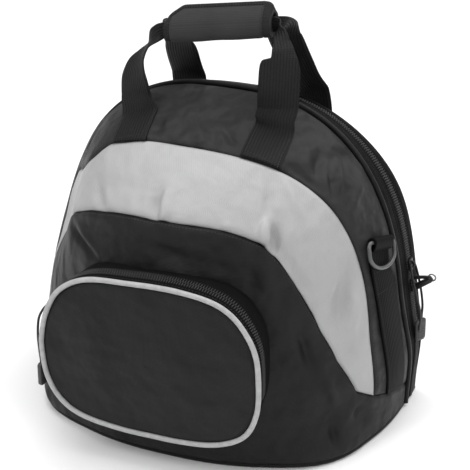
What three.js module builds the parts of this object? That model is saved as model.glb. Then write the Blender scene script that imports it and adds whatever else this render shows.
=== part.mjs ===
import * as THREE from "three";

// A dome-shaped motorcycle bag with a flat back, in millimetres, +Z up.
// The front faces -Y, +X is its right as a viewer sees it, and the flat bottom rests on z = 0.

// Main body.
const HALF_WIDTH = 189.5;
const HEIGHT = 334.5;
const SHOULDER_POWER = 3.3;
const CROWN_POWER = 2.45;
const HIP = { rise: 5, z: 68, spread: 42 };
const SEAM_Y = 56;
const SEAM_FOOT_SLIDE = 21;
const SEAM_SLIDE_HEIGHT = 150;
const BACK_Y = 111;
const BACK_DROP = 17;
const BACK_DROP_FROM = 200;
const BACK_DROP_OVER = 120;
const CORE = new THREE.Vector3(0, 40, 110);
const CLOTH = 2.2;
const GAP = 0.35;
const SEAM_GAP = 1.6;

// Foot of the body.
const BASE_THICK = 3;
const BASE_PIPING_RADIUS = 2.5;
const BASE_PIPING_Z = 2.9;
const SKIRT_SEAM_Z = 30;
const LOWER_PANEL_Z = BASE_PIPING_Z + BASE_PIPING_RADIUS + 0.4;
const GUSSET_FOOT_Z = BASE_THICK + 0.5;
const BACK_THICK = 3;

// Arch seam and gusset.
const PIPING_RADIUS = 2.5;
const PIPING_PROUD = 0.8;
const PIPING_SIDES = 6;
const SEAM_CLEAR = PIPING_RADIUS + 0.4;
const ZIP_HALF = 10;
const ZIP_CENTRE = 0.53;
const ZIP_TAPE = 1.4;
const ZIP_COIL_HALF = 3;
const ZIP_COIL_RISE = 1.4;
const ARCH_STEPS = 40;
const FOOT_STEPS = 26;
const LOWER_STEPS = 52;
const LOWER_ROWS = 8;
const PANEL_ROWS = 4;

// Front pocket.
const POCKET = { halfWidth: 113, halfHeight: 80.7, z: 120.8, power: 2.9, y: -137, crown: 8 };
const POCKET_PIPING_RADIUS = 2.6;
const POCKET_ROOT = { halfWidth: 106, rise: 85, drop: 80 };
const POCKET_FRONT_STRIP = 6;
const POCKET_ZIP_HALF = 6;
const POCKET_ZIP_END = THREE.MathUtils.degToRad(-8);
const POCKET_STEPS = 36;

// Webbing and D-rings.
const WEB_HALF = 19;
const WEB_THICK = 2.2;
const WEB_SEAT = 0.5;
const LEG_X = 69;
const LEFT_LEG_SPLAY = 5;
const SEWN_FRONT = { from: -34, to: 6, steps: 5 };
const SEWN_BACK = { from: 258, to: 304, steps: 4 };
const FRONT_HANDLE_STEPS = 34;
const BACK_HANDLE_STEPS = 32;
const STRAP_Y = 23.5;
const STRAP_FOOT_Z = 48;
const STRAP_FOOT_SLANT = 10;
const STRAP_FOOT_BACK = 8;
const LOOP_Z = 208.5;
const LOOP_NARROWED = 0.16;
const LOOP_TILT = THREE.MathUtils.degToRad(14);
const RING_WIRE = 2.2;
const RING_HALF = 22.2;
const RING_DROP = 26;
const RING_CORNER = 5;
const RING_SHANK = 12;
const RING_STEPS = 28;
const LOOP_CLEAR = 0.5;
const LOOP_OUT = WEB_SEAT + WEB_THICK + LOOP_CLEAR + RING_WIRE;

// Padded wrap round the two handles.
const WRAP = { y: 36, z: 406.6, halfDepth: 12, halfHeight: 18, rim: 0.4, pad: 3, power: 2.6 };
const WRAP_TILT = 0.125;
const WRAP_YAW = 0.14;
const WRAP_HANDLE_GAP = 1.5;
const WRAP_HANDLE_DROP = 6;
const WRAP_WEB_HALF = 7.5;
const WRAP_AROUND = 16;

// Zip sliders and pulls.
const SLIDER = { half: 3.5, long: 12, plate: 2.6, bridge: 5.6, bridgeLong: 8, bore: 1.7 };
const SLIDER_SEAT = ZIP_COIL_RISE + GAP;
const CORD_RADIUS = 1.1;
const TAB = { width: 11, long: 24, thick: 5, corner: 3 };
const MAIN_TAB_TURN = 32;
const UPPER_PULL = { half: 5, neck: 3.5, long: 19, thick: 3.4, rise: 30 };
const SLIDER_PAIR_Z = 147;
const SLIDER_SPACING = 11.5;
const POCKET_SLIDER_ANGLE = THREE.MathUtils.degToRad(164);

// Horizontal sections of the front, floor to crown: its reach ahead of the arch seam and how square it is.
const SECTIONS = [
  { z: 0, reach: 163, fullness: 2.45 },
  { z: 20, reach: 170, fullness: 2.4 },
  { z: 45, reach: 171, fullness: 2.32 },
  { z: 120, reach: 169, fullness: 2.08 },
  { z: 200, reach: 166, fullness: 2.0 },
  { z: 243, reach: 158, fullness: 2.0 },
  { z: 262, reach: 146, fullness: 2.05 },
  { z: 280, reach: 129, fullness: 2.1 },
  { z: 301, reach: 101, fullness: 2.2 },
  { z: 318, reach: 66, fullness: 2.3 },
  { z: 329, reach: 34, fullness: 2.35 },
  { z: 334.5, reach: 0, fullness: 2.4 },
];

// Seams across the front, right half, from the foot to the middle.
const SILVER_OUTER = [
  { x: 182, y: -6, z: 54 },
  { x: 177, y: -6, z: 110 },
  { x: 166, y: -5, z: 183 },
  { x: 143, y: -13, z: 242 },
  { x: 111, y: -25, z: 278 },
  { x: 88, y: -31, z: 291 },
  { x: 52, y: -37, z: 301 },
  { x: 0, y: -39, z: 305 },
];
const SILVER_INNER = [
  { x: 171, y: -29, z: 69 },
  { x: 150, y: -48, z: 123 },
  { x: 131, y: -60, z: 168 },
  { x: 106, y: -72, z: 216 },
  { x: 95, y: -76, z: 229 },
  { x: 82, y: -81, z: 238 },
  { x: 57, y: -89, z: 247 },
  { x: 0, y: -98, z: 251 },
];
// The inner seam's left half, mirrored, which turns down further out.
const SILVER_INNER_LEFT = [
  { x: 171, y: -29, z: 69 },
  { x: 158, y: -41, z: 123 },
  { x: 144.5, y: -47, z: 168 },
  { x: 135, y: -50, z: 200 },
  { x: 127, y: -54, z: 218 },
  { x: 108, y: -66, z: 230.5 },
  { x: 87, y: -77.5, z: 239.5 },
  { x: 54.5, y: -90, z: 247.3 },
  { x: 0, y: -98, z: 251 },
];

// Folds and dents: middle, run of the crease, half length, half width and rise.
const FOLDS = [
  { name: "pinch", at: [90, -72, 245], run: [0.09, 0.51, 0.86], long: 13, wide: 6, rise: 4 },
  { name: "pinch hollow", at: [99, -69, 240], run: [0.16, 0.51, 0.84], long: 14, wide: 7, rise: -3.5 },
  { name: "middle ridge", at: [-2, -91, 260], run: [0.25, 0.59, 0.77], long: 16, wide: 7, rise: 3 },
  { name: "middle hollow", at: [-12, -90, 261], run: [0.18, 0.6, 0.78], long: 16, wide: 8, rise: -2.5 },
  { name: "silver side hollow", at: [149, -41, 156], run: [-0.23, -0.49, -0.84], long: 32, wide: 13, rise: -4 },
  { name: "silver foot hollow", at: [160, -38, 106], run: [-0.28, -0.58, -0.76], long: 18, wide: 10, rise: -3 },
  { name: "silver left hollow", at: [-81, -73, 254], run: [0.58, -0.67, -0.47], long: 22, wide: 12, rise: -3 },
  { name: "bib hollow", at: [23, -100, 222], run: [0.99, 0.13, -0.05], long: 62, wide: 15, rise: -7 },
  { name: "corner ridge", at: [94, -81, 211], run: [0.2, -0.09, -0.97], long: 22, wide: 8, rise: 3.5 },
  { name: "shoulder hollow", at: [134, 25, 276], run: [0.5, -0.44, -0.74], long: 26, wide: 10, rise: -3 },
  { name: "skirt hollow", at: [175, -19, 34], run: [0.11, 0.37, -0.92], long: 22, wide: 10, rise: -3.5 },
  { name: "skirt hollow ahead", at: [156, -52, 49], run: [-0.13, -0.17, -0.98], long: 26, wide: 12, rise: -3 },
];

// The wrap from its left end to its right: place along it and how much of its upper half stands there.
const WRAP_ENDS = [
  { x: -50, top: 0.3 },
  { x: -47.5, top: 0.48 },
  { x: -42, top: 0.72 },
  { x: -32, top: 1 },
  { x: 34, top: 1 },
  { x: 43, top: 0.9 },
  { x: 48, top: 0.62 },
  { x: 50, top: 0.3 },
];

// Free run of each handle leg up to the wrap: place, turn of the width from across to upright, lean of its
// outer edge to the back, and half width, which drops where the webbing folds up to enter the wrap.
const FRONT_RIGHT_LEG = [
  { x: 69.5, y: 10.5, z: 334, turn: 0, lean: 14, half: 19.5 },
  { x: 70, y: 11, z: 352, turn: 0, lean: 20, half: 20 },
  { x: 70, y: 13, z: 367, turn: 3, lean: 21, half: 20 },
  { x: 70, y: 16, z: 379, turn: 10, lean: 26, half: 16 },
  { x: 68.5, y: 20, z: 389, turn: 24, lean: 42, half: 12 },
  { x: 64, y: 27, z: 397, turn: 46, lean: 60, half: 10 },
  { x: 60.5, y: 36.5, z: 403, turn: 74, lean: 36, half: 7.5 },
];
const FRONT_LEFT_LEG = [
  { x: -78.5, y: 9.5, z: 329, turn: 180, lean: 12, half: 18.5 },
  { x: -80, y: 10.5, z: 345, turn: 178, lean: 24, half: 19 },
  { x: -79, y: 13, z: 358, turn: 170, lean: 42, half: 18.5 },
  { x: -75, y: 16.5, z: 368, turn: 156, lean: 64, half: 17 },
  { x: -69.5, y: 20, z: 377, turn: 136, lean: 76, half: 14 },
  { x: -65, y: 23, z: 385, turn: 112, lean: 48, half: 10 },
  { x: -61, y: 25.5, z: 391, turn: 98, lean: 14, half: 8 },
];
const BACK_RIGHT_LEG = [
  { x: 68, y: 115.2, z: 317, turn: 0, lean: 0, half: 19 },
  { x: 60, y: 106, z: 334, turn: 0, lean: 0, half: 19 },
  { x: 55, y: 95, z: 355, turn: 2, lean: 0, half: 19 },
  { x: 51.5, y: 84, z: 374, turn: 4, lean: 4, half: 18.5 },
  { x: 51.5, y: 72, z: 390, turn: 12, lean: 8, half: 16.5 },
  { x: 59.5, y: 61, z: 399.5, turn: 40, lean: 8, half: 11.5 },
  { x: 61.5, y: 50, z: 406.5, turn: 72, lean: 4, half: 8 },
];
const BACK_LEFT_LEG = [
  { x: -70, y: 115.2, z: 317, turn: 180, lean: 0, half: 19 },
  { x: -69, y: 104, z: 332, turn: 180, lean: 0, half: 18.5 },
  { x: -68, y: 95, z: 346, turn: 180, lean: 2, half: 18.5 },
  { x: -65, y: 84, z: 362, turn: 176, lean: 6, half: 17 },
  { x: -61.5, y: 70, z: 377, turn: 160, lean: 12, half: 13.5 },
  { x: -60.5, y: 50, z: 389, turn: 130, lean: 14, half: 9.5 },
  { x: -61, y: 37, z: 393, turn: 100, lean: 4, half: 7.5 },
];

// The strap's folded end in front of the D-ring's bar: height from the bar and stand-off of its outer face.
const STRAP_TAIL = [
  { rise: -5, out: 8.9 },
  { rise: -9, out: 5.6 },
];

// Hanging pulls, from the slider's bore to the tab: side step, drop and step out.
const MAIN_PULL = [
  { side: 3, drop: 0, out: 0 },
  { side: 5.4, drop: 0.8, out: 0.3 },
  { side: 7.4, drop: 5, out: 1.5 },
  { side: 8.2, drop: 14, out: 4 },
  { side: 8, drop: 32, out: 8.5 },
  { side: 5, drop: 47, out: 12 },
  { side: 1.9, drop: 59.5, out: 12.8 },
];
const POCKET_PULL = [
  { side: 3, drop: 0, out: 0 },
  { side: 5, drop: 0.8, out: 0.3 },
  { side: 6, drop: 5, out: 4 },
  { side: 5.4, drop: 18, out: 9 },
  { side: 4.4, drop: 38, out: 11 },
  { side: 3, drop: 56, out: 10 },
  { side: 1.9, drop: 72, out: 8.5 },
];

const BLACK = cloth(0x2a2a2c, 0.78);
const SILVER = cloth(0xb4b7ba, 0.55);
const PIPING = cloth(0x3c3d3f, 0.7);
const GREY_PIPING = cloth(0x7d7f82, 0.65);
const ZIP = cloth(0x232325, 0.6);
const WEBBING = cloth(0x1c1c1e, 0.72);
const RING_GREY = cloth(0x6f7073, 0.5);
const PULL_GREY = cloth(0x333436, 0.6);

function cloth(color, roughness) {
  return new THREE.MeshStandardMaterial({ color, roughness, metalness: 0 });
}

// A smooth curve through one column of a table that never overshoots its rows.
function curveThrough(rows, key, column) {
  const slope = rows.slice(1).map((row, i) => (row[column] - rows[i][column]) / (row[key] - rows[i][key]));
  const tangent = rows.map((_, i) => {
    const before = slope[Math.max(i - 1, 0)];
    const after = slope[Math.min(i, slope.length - 1)];
    return before * after > 0 ? (2 * before * after) / (before + after) : 0;
  });
  return (at) => {
    let i = 0;
    while (i < slope.length - 1 && at > rows[i + 1][key]) i += 1;
    const width = rows[i + 1][key] - rows[i][key];
    const t = THREE.MathUtils.clamp((at - rows[i][key]) / width, 0, 1);
    const ease = t * t * (3 - 2 * t);
    const lead = t * (1 - t) * (1 - t) * width * tangent[i];
    const trail = t * t * (t - 1) * width * tangent[i + 1];
    return rows[i][column] * (1 - ease) + rows[i + 1][column] * ease + lead + trail;
  };
}

const reachAt = curveThrough(SECTIONS, "z", "reach");
const fullnessAt = curveThrough(SECTIONS, "z", "fullness");

function halfWidthAt(z) {
  const rise = THREE.MathUtils.clamp(z / HEIGHT, 0, 1);
  const arch = HALF_WIDTH * (1 - rise ** SHOULDER_POWER) ** (1 / CROWN_POWER);
  return arch + HIP.rise * Math.exp(-(((z - HIP.z) / HIP.spread) ** 2));
}

function seamYAt(z) {
  return SEAM_Y + SEAM_FOOT_SLIDE * THREE.MathUtils.smoothstep(1 - z / SEAM_SLIDE_HEIGHT, 0, 1);
}

function depthAt(z) {
  return reachAt(z) + seamYAt(z) - SEAM_Y;
}

function isInside(p) {
  if (p.z >= HEIGHT) return false;
  const power = fullnessAt(p.z);
  const across = Math.abs(p.x) / halfWidthAt(p.z);
  const ahead = Math.max(seamYAt(p.z) - p.y, 0) / depthAt(p.z);
  return across ** power + ahead ** power < 1;
}

function foldAt(p) {
  return FOLDS.reduce((sum, fold) => {
    const away = p.clone().sub(new THREE.Vector3(...fold.at));
    const along = away.dot(new THREE.Vector3(...fold.run).normalize());
    const acrossSquared = Math.max(away.lengthSq() - along * along, 0);
    return sum + fold.rise * Math.exp(-((along / fold.long) ** 2) - acrossSquared / fold.wide ** 2);
  }, 0);
}

// The last point inside the body on a ray from an inner point.
function lastInside(from, ray) {
  let near = 0;
  let far = 2 * HEIGHT;
  for (let i = 0; i < 40; i += 1) {
    const middle = (near + far) / 2;
    if (isInside(from.clone().addScaledVector(ray, middle))) near = middle;
    else far = middle;
  }
  return from.clone().addScaledVector(ray, near);
}

function folded(point) {
  const ray = point.clone().sub(CORE).normalize();
  return point.clone().addScaledVector(ray, foldAt(point));
}

function onBody(guess) {
  return folded(lastInside(CORE, guess.clone().sub(CORE).normalize()));
}

function onTop(x, y) {
  return folded(lastInside(new THREE.Vector3(x, y, CORE.z), new THREE.Vector3(0, 0, 1)));
}

function onFront(x, z) {
  return folded(lastInside(new THREE.Vector3(x, SEAM_Y, z), new THREE.Vector3(0, -1, 0)));
}

function onSide(y, z) {
  return folded(lastInside(new THREE.Vector3(0, y, z), new THREE.Vector3(1, 0, 0)));
}

// A closed solid from corner points and polygons, turned so that its faces point out.
function solidOf(points, polygons) {
  const triangles = polygons.flatMap((p) => p.slice(2).map((_, i) => [p[0], p[i + 1], p[i + 2]]));
  const volume = triangles.reduce((sum, [a, b, c]) => {
    return sum + points[a].dot(points[b].clone().cross(points[c]));
  }, 0);
  const index = triangles.flatMap(([a, b, c]) => (volume < 0 ? [a, c, b] : [a, b, c]));
  const geometry = new THREE.BufferGeometry().setFromPoints(points);
  geometry.setIndex(index);
  geometry.computeVertexNormals();
  return geometry;
}

// A wall between two grids of points, closed along its edges. A ring's last column meets its first.
function wall(outer, inner, ring = false) {
  const rows = outer.length;
  const columns = outer[0].length;
  const at = (side, r, c) => (side * rows + r) * columns + (c % columns);
  const spans = ring ? columns : columns - 1;
  const polygons = [];
  for (let c = 0; c < spans; c += 1) {
    for (let r = 0; r < rows - 1; r += 1) {
      polygons.push([at(0, r, c), at(0, r, c + 1), at(0, r + 1, c + 1), at(0, r + 1, c)]);
      polygons.push([at(1, r, c), at(1, r + 1, c), at(1, r + 1, c + 1), at(1, r, c + 1)]);
    }
    polygons.push([at(0, 0, c), at(1, 0, c), at(1, 0, c + 1), at(0, 0, c + 1)]);
    polygons.push([at(0, rows - 1, c), at(0, rows - 1, c + 1), at(1, rows - 1, c + 1), at(1, rows - 1, c)]);
  }
  for (let r = 0; r < rows - 1 && !ring; r += 1) {
    polygons.push([at(0, r, 0), at(0, r + 1, 0), at(1, r + 1, 0), at(1, r, 0)]);
    const last = columns - 1;
    polygons.push([at(0, r, last), at(1, r, last), at(1, r + 1, last), at(0, r + 1, last)]);
  }
  return solidOf([...outer.flat(), ...inner.flat()], polygons);
}

function gridOf(rows, columns, pointAt) {
  return Array.from({ length: rows + 1 }, (_, r) => {
    return Array.from({ length: columns + 1 }, (_, c) => pointAt(c / columns, r / rows));
  });
}

// Face normals of a grid of points, from each point's neighbours.
function gridNormals(grid) {
  return grid.map((row, r) => row.map((_, c) => {
    const above = grid[Math.min(r + 1, grid.length - 1)][c];
    const below = grid[Math.max(r - 1, 0)][c];
    const right = row[Math.min(c + 1, row.length - 1)];
    const left = row[Math.max(c - 1, 0)];
    return right.clone().sub(left).cross(above.clone().sub(below)).normalize();
  }));
}

// A cloth panel whose outer face is a grid, thickened along rays to the core so that neighbours keep clear.
function panel(grid) {
  const normals = gridNormals(grid);
  const inner = grid.map((row, r) => row.map((p, c) => {
    const ray = p.clone().sub(CORE).normalize();
    const slope = Math.max(Math.abs(ray.dot(normals[r][c])), 0.6);
    return p.clone().addScaledVector(ray, -CLOTH / slope);
  }));
  return wall(grid, inner);
}

// A section carried along stations, each with its place and two directions.
function sweep(section, stations, ring = false) {
  const size = section.length;
  const points = stations.flatMap((s) => section.map((p) => {
    return s.at.clone().addScaledVector(s.across, p.x).addScaledVector(s.out, p.y);
  }));
  const count = stations.length;
  const at = (s, i) => (s % count) * size + (i % size);
  const polygons = [];
  for (let s = 0; s < (ring ? count : count - 1); s += 1) {
    for (let i = 0; i < size; i += 1) polygons.push([at(s, i), at(s, i + 1), at(s + 1, i + 1), at(s + 1, i)]);
  }
  if (!ring) {
    THREE.ShapeUtils.triangulateShape(section, []).forEach(([a, b, c]) => {
      polygons.push([at(0, a), at(0, c), at(0, b)]);
      polygons.push([at(count - 1, a), at(count - 1, b), at(count - 1, c)]);
    });
  }
  return solidOf(points, polygons);
}

function roundSection(radius, sides) {
  return Array.from({ length: sides }, (_, i) => {
    const angle = (2 * Math.PI * (i + 0.5)) / sides;
    return new THREE.Vector2(radius * Math.cos(angle), radius * Math.sin(angle));
  });
}

function zipSection(half) {
  const rows = [
    [-half, -ZIP_TAPE],
    [half, -ZIP_TAPE],
    [half, 0],
    [ZIP_COIL_HALF, 0],
    [ZIP_COIL_HALF - 0.8, ZIP_COIL_RISE],
    [0.8 - ZIP_COIL_HALF, ZIP_COIL_RISE],
    [-ZIP_COIL_HALF, 0],
    [-half, 0],
  ];
  return rows.map(([across, out]) => new THREE.Vector2(across, out));
}

// A profile with an optional bore, carried straight or bent across a width.
function acrossWidth(contour, bore, steps, place) {
  const holes = bore.length ? [[...bore].reverse()] : [];
  const loops = [contour, ...holes];
  const flat = loops.flat();
  const points = [];
  for (let s = 0; s <= steps; s += 1) flat.forEach((p) => points.push(place(p, (2 * s) / steps - 1)));
  const polygons = [];
  let start = 0;
  loops.forEach((loop) => {
    const at = (s, i) => s * flat.length + start + (i % loop.length);
    for (let s = 0; s < steps; s += 1) {
      loop.forEach((_, i) => polygons.push([at(s, i), at(s, i + 1), at(s + 1, i + 1), at(s + 1, i)]));
    }
    start += loop.length;
  });
  THREE.ShapeUtils.triangulateShape(contour, holes).forEach(([a, b, c]) => {
    polygons.push([a, c, b]);
    polygons.push([a, b, c].map((i) => steps * flat.length + i));
  });
  return solidOf(points, polygons);
}

function mirrorRows(rows) {
  return [...rows, ...rows.slice(0, -1).reverse().map((row) => ({ ...row, x: -row.x }))];
}

function seamCurve(rows) {
  return new THREE.CatmullRomCurve3(mirrorRows(rows).map((row) => new THREE.Vector3(row.x, row.y, row.z)));
}

function shiftTowards(from, to, distance) {
  return from.clone().add(to.clone().sub(from).setLength(distance));
}

// The arch seam from the right foot over the crown to the left foot, evenly spaced.
function archCurve(footZ) {
  const half = [];
  const first = Math.asin((footZ / HEIGHT) ** (SHOULDER_POWER / 2));
  for (let i = 0; i <= 48; i += 1) {
    const angle = first + (Math.PI / 2 - first) * (i / 48);
    const z = HEIGHT * Math.sin(angle) ** (2 / SHOULDER_POWER);
    half.push({ x: i === 48 ? 0 : halfWidthAt(z), y: seamYAt(z), z });
  }
  return seamCurve(half);
}

const ARCH = archCurve(GUSSET_FOOT_Z);
ARCH.arcLengthDivisions = 600;

function backOf(p) {
  const drop = BACK_DROP * THREE.MathUtils.smoothstep(p.z - BACK_DROP_FROM, 0, BACK_DROP_OVER);
  return new THREE.Vector3(p.x, BACK_Y, p.z - drop);
}

// Place and directions on the gusset: along the arch by share, back from the seam by distance.
function gussetStation(share, distanceOf) {
  const seam = ARCH.getPointAt(share);
  const back = backOf(seam);
  const across = back.clone().sub(seam).normalize();
  const out = ARCH.getTangentAt(share).cross(across).normalize();
  if (out.dot(seam.clone().sub(CORE)) < 0) out.negate();
  return { at: seam.clone().addScaledVector(across, distanceOf(seam.distanceTo(back))), across, out };
}

function zipMiddle(width) {
  return SEAM_CLEAR + (width - SEAM_CLEAR) * ZIP_CENTRE;
}

function gussetStrip(fromOf, toOf) {
  const edge = (distanceOf, depth) => spread(0, 1, ARCH_STEPS).map((share) => {
    const station = gussetStation(share, distanceOf);
    return station.at.addScaledVector(station.out, -depth);
  });
  return wall([edge(fromOf, 0), edge(toOf, 0)], [edge(fromOf, CLOTH), edge(toOf, CLOTH)]);
}

function makeUpperPanel() {
  const outer = seamCurve(SILVER_OUTER);
  const arch = archCurve(SKIRT_SEAM_Z);
  return panel(gridOf(PANEL_ROWS, ARCH_STEPS, (s, t) => {
    const top = arch.getPointAt(s);
    const seam = new THREE.Vector3(top.x, top.y - SEAM_CLEAR, top.z);
    const foot = outer.getPointAt(s);
    return onBody(seam.lerp(shiftTowards(foot, seam, GAP / 2), t));
  }));
}

function makeSilverBand() {
  const outer = seamCurve(SILVER_OUTER);
  const right = seamCurve(SILVER_INNER);
  const left = seamCurve(SILVER_INNER_LEFT);
  return panel(gridOf(PANEL_ROWS, ARCH_STEPS, (s, t) => {
    const top = outer.getPointAt(s);
    const foot = (s < 0.5 ? right : left).getPointAt(s);
    return onBody(shiftTowards(top, foot, GAP / 2).lerp(shiftTowards(foot, top, GAP / 2), t));
  }));
}

function bearingOf(p) {
  return Math.atan2(CORE.y - p.y, p.x);
}

function onWall(bearing, z) {
  const ray = new THREE.Vector3(Math.cos(bearing), -Math.sin(bearing), 0);
  return folded(lastInside(new THREE.Vector3(0, CORE.y, z), ray));
}

function seamBearing(z) {
  return bearingOf(new THREE.Vector3(halfWidthAt(z), seamYAt(z) - SEAM_CLEAR, z));
}

// Half of the lower panel's upper edge: along the skirt seam, the silver foot and the silver inner seam. The
// bearings are measured from that side.
function lowerEdge(rows, side) {
  const skirt = archCurve(SKIRT_SEAM_Z).getPointAt(0);
  skirt.y -= SEAM_CLEAR;
  const foot = seamCurve(SILVER_OUTER).getPointAt(0);
  const inner = seamCurve(rows);
  const points = [
    ...spread(0, 1, 8).map((t) => skirt.clone().lerp(foot, t)),
    ...spread(0, 1, 8).slice(1).map((t) => foot.clone().lerp(inner.getPointAt(0), t)),
    ...spread(0, 0.5, 40).slice(1).map((t) => inner.getPointAt(t)),
  ];
  const seam = points.map((p) => onBody(p.multiply(new THREE.Vector3(side, 1, 1))));
  return seam.map((p, i) => {
    const tangent = seam[Math.min(i + 1, seam.length - 1)].clone().sub(seam[Math.max(i - 1, 0)]);
    const below = tangent.cross(p.clone().sub(CORE)).setLength(SEAM_GAP);
    if (below.z > 0) below.negate();
    const edge = p.clone().add(below);
    return { bearing: Math.atan2(CORE.y - edge.y, side * edge.x), z: edge.z };
  });
}

function wallBearing(share, z) {
  const first = seamBearing(z);
  return THREE.MathUtils.lerp(first, Math.PI - first, share);
}

// Where a column of the lower panel meets its upper edge, by repeated halving of the miss.
function columnTop(rightTop, leftTop, share) {
  let z = LOWER_PANEL_Z;
  for (let i = 0; i < 40; i += 1) {
    const bearing = wallBearing(share, z);
    z = (z + (share < 0.5 ? rightTop(bearing) : leftTop(Math.PI - bearing))) / 2;
  }
  return z;
}

function makeLowerPanel() {
  const rightTop = curveThrough(lowerEdge(SILVER_INNER, 1), "bearing", "z");
  const leftTop = curveThrough(lowerEdge(SILVER_INNER_LEFT, -1), "bearing", "z");
  const tops = spread(0, 1, LOWER_STEPS).map((share) => columnTop(rightTop, leftTop, share));
  return panel(gridOf(LOWER_ROWS, LOWER_STEPS, (s, t) => {
    const z = THREE.MathUtils.lerp(LOWER_PANEL_Z, tops[Math.round(s * LOWER_STEPS)], t);
    return onWall(wallBearing(s, z), z);
  }));
}

function footPoint(share, inset) {
  const point = onWall(wallBearing(share, BASE_THICK), BASE_PIPING_Z);
  const inward = new THREE.Vector3(0, CORE.y, BASE_PIPING_Z).sub(point).setLength(inset);
  return point.add(inward);
}

function makeBasePanel() {
  const inset = 2 * BASE_PIPING_RADIUS + GAP;
  const outline = [];
  for (let i = 0; i <= FOOT_STEPS; i += 1) {
    const p = footPoint(i / FOOT_STEPS, inset);
    outline.push(new THREE.Vector2(p.x, p.y));
  }
  const foot = ARCH.getPointAt(0);
  const backY = BACK_Y + BACK_THICK;
  const corners = [[-foot.x, foot.y], [-foot.x, backY], [foot.x, backY], [foot.x, foot.y]];
  corners.forEach(([x, y]) => outline.push(new THREE.Vector2(x, y)));
  return new THREE.ExtrudeGeometry(new THREE.Shape(outline), { depth: BASE_THICK, bevelEnabled: false });
}

function makeBasePiping() {
  const stations = Array.from({ length: FOOT_STEPS + 1 }, (_, i) => {
    const at = footPoint(i / FOOT_STEPS, BASE_PIPING_RADIUS);
    at.z = BASE_PIPING_Z;
    const out = at.clone().sub(new THREE.Vector3(0, CORE.y, at.z)).normalize();
    return { at, across: new THREE.Vector3(0, 0, 1), out };
  });
  return sweep(roundSection(BASE_PIPING_RADIUS, PIPING_SIDES), stations);
}

function makeBackPanel() {
  const outline = Array.from({ length: ARCH_STEPS + 1 }, (_, i) => {
    const p = backOf(ARCH.getPointAt(i / ARCH_STEPS));
    return new THREE.Vector2(p.x, p.z);
  });
  const plate = new THREE.ExtrudeGeometry(new THREE.Shape(outline), { depth: BACK_THICK, bevelEnabled: false });
  return plate.rotateX(Math.PI / 2).translate(0, BACK_Y + BACK_THICK, 0);
}

function makeSeamPiping() {
  const stations = Array.from({ length: ARCH_STEPS + 1 }, (_, i) => {
    const station = gussetStation(i / ARCH_STEPS, () => 0);
    station.at.addScaledVector(station.out, PIPING_PROUD);
    return station;
  });
  return sweep(roundSection(PIPING_RADIUS, PIPING_SIDES), stations);
}

function makeMainZip() {
  const stations = Array.from({ length: ARCH_STEPS + 1 }, (_, i) => gussetStation(i / ARCH_STEPS, zipMiddle));
  return sweep(zipSection(ZIP_HALF), stations);
}

// The pocket's outline, front and root, by angle from its right side.
function superPoint(angle, halfWidth, rise, drop, power) {
  const c = Math.cos(angle);
  const s = Math.sin(angle);
  const high = s > 0 ? rise : drop;
  return [
    halfWidth * Math.sign(c) * Math.abs(c) ** (2 / power),
    POCKET.z + high * Math.sign(s) * Math.abs(s) ** (2 / power),
  ];
}

function pocketFront(angle, inset = 0) {
  const halfHeight = POCKET.halfHeight - inset;
  const [x, z] = superPoint(angle, POCKET.halfWidth - inset, halfHeight, halfHeight, POCKET.power);
  return new THREE.Vector3(x, POCKET.y, z);
}

function pocketRoot(angle) {
  const { halfWidth, rise, drop } = POCKET_ROOT;
  const [x, z] = superPoint(angle, halfWidth, rise, drop, POCKET.power);
  const inside = superPoint(angle, halfWidth - CLOTH, rise - CLOTH, drop - CLOTH, POCKET.power);
  return new THREE.Vector3(x, onFront(...inside).y - WEB_SEAT, z);
}

// Angles that space the pocket's outline evenly, from the right side round to it again.
const POCKET_ANGLES = evenAngles(POCKET_STEPS);

function evenAngles(count) {
  const fine = 720;
  const lengths = [0];
  for (let i = 1; i <= fine; i += 1) {
    const step = pocketFront((2 * Math.PI * i) / fine).distanceTo(pocketFront((2 * Math.PI * (i - 1)) / fine));
    lengths.push(lengths[i - 1] + step);
  }
  return Array.from({ length: count }, (_, k) => {
    const i = lengths.findIndex((length) => length >= (lengths[fine] * k) / count);
    return (2 * Math.PI * i) / fine;
  });
}

// Place and directions on the pocket's gusset, back from the piping by distance.
function pocketStation(angle, distanceOf) {
  const front = pocketFront(angle);
  front.y += POCKET_PIPING_RADIUS + GAP;
  const root = pocketRoot(angle);
  const across = root.clone().sub(front).normalize();
  const tangent = pocketFront(angle + 0.01).sub(pocketFront(angle - 0.01));
  const out = across.clone().cross(tangent).normalize();
  if (out.dot(new THREE.Vector3(front.x, 0, front.z - POCKET.z)) < 0) out.negate();
  return { at: front.addScaledVector(across, distanceOf(front.distanceTo(root))), across, out };
}

function pocketRing(fromOf, toOf) {
  const edge = (distanceOf, depth) => POCKET_ANGLES.map((angle) => {
    const station = pocketStation(angle, distanceOf(angle));
    return station.at.addScaledVector(station.out, -depth);
  });
  return wall([edge(fromOf, 0), edge(toOf, 0)], [edge(fromOf, CLOTH), edge(toOf, CLOTH)], true);
}

function hasPocketZip(angle) {
  return Math.sin(angle) >= Math.sin(POCKET_ZIP_END);
}

function pocketZipBack(angle) {
  const seam = POCKET_FRONT_STRIP + GAP;
  return hasPocketZip(angle) ? seam + 2 * POCKET_ZIP_HALF + GAP : seam;
}

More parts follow.
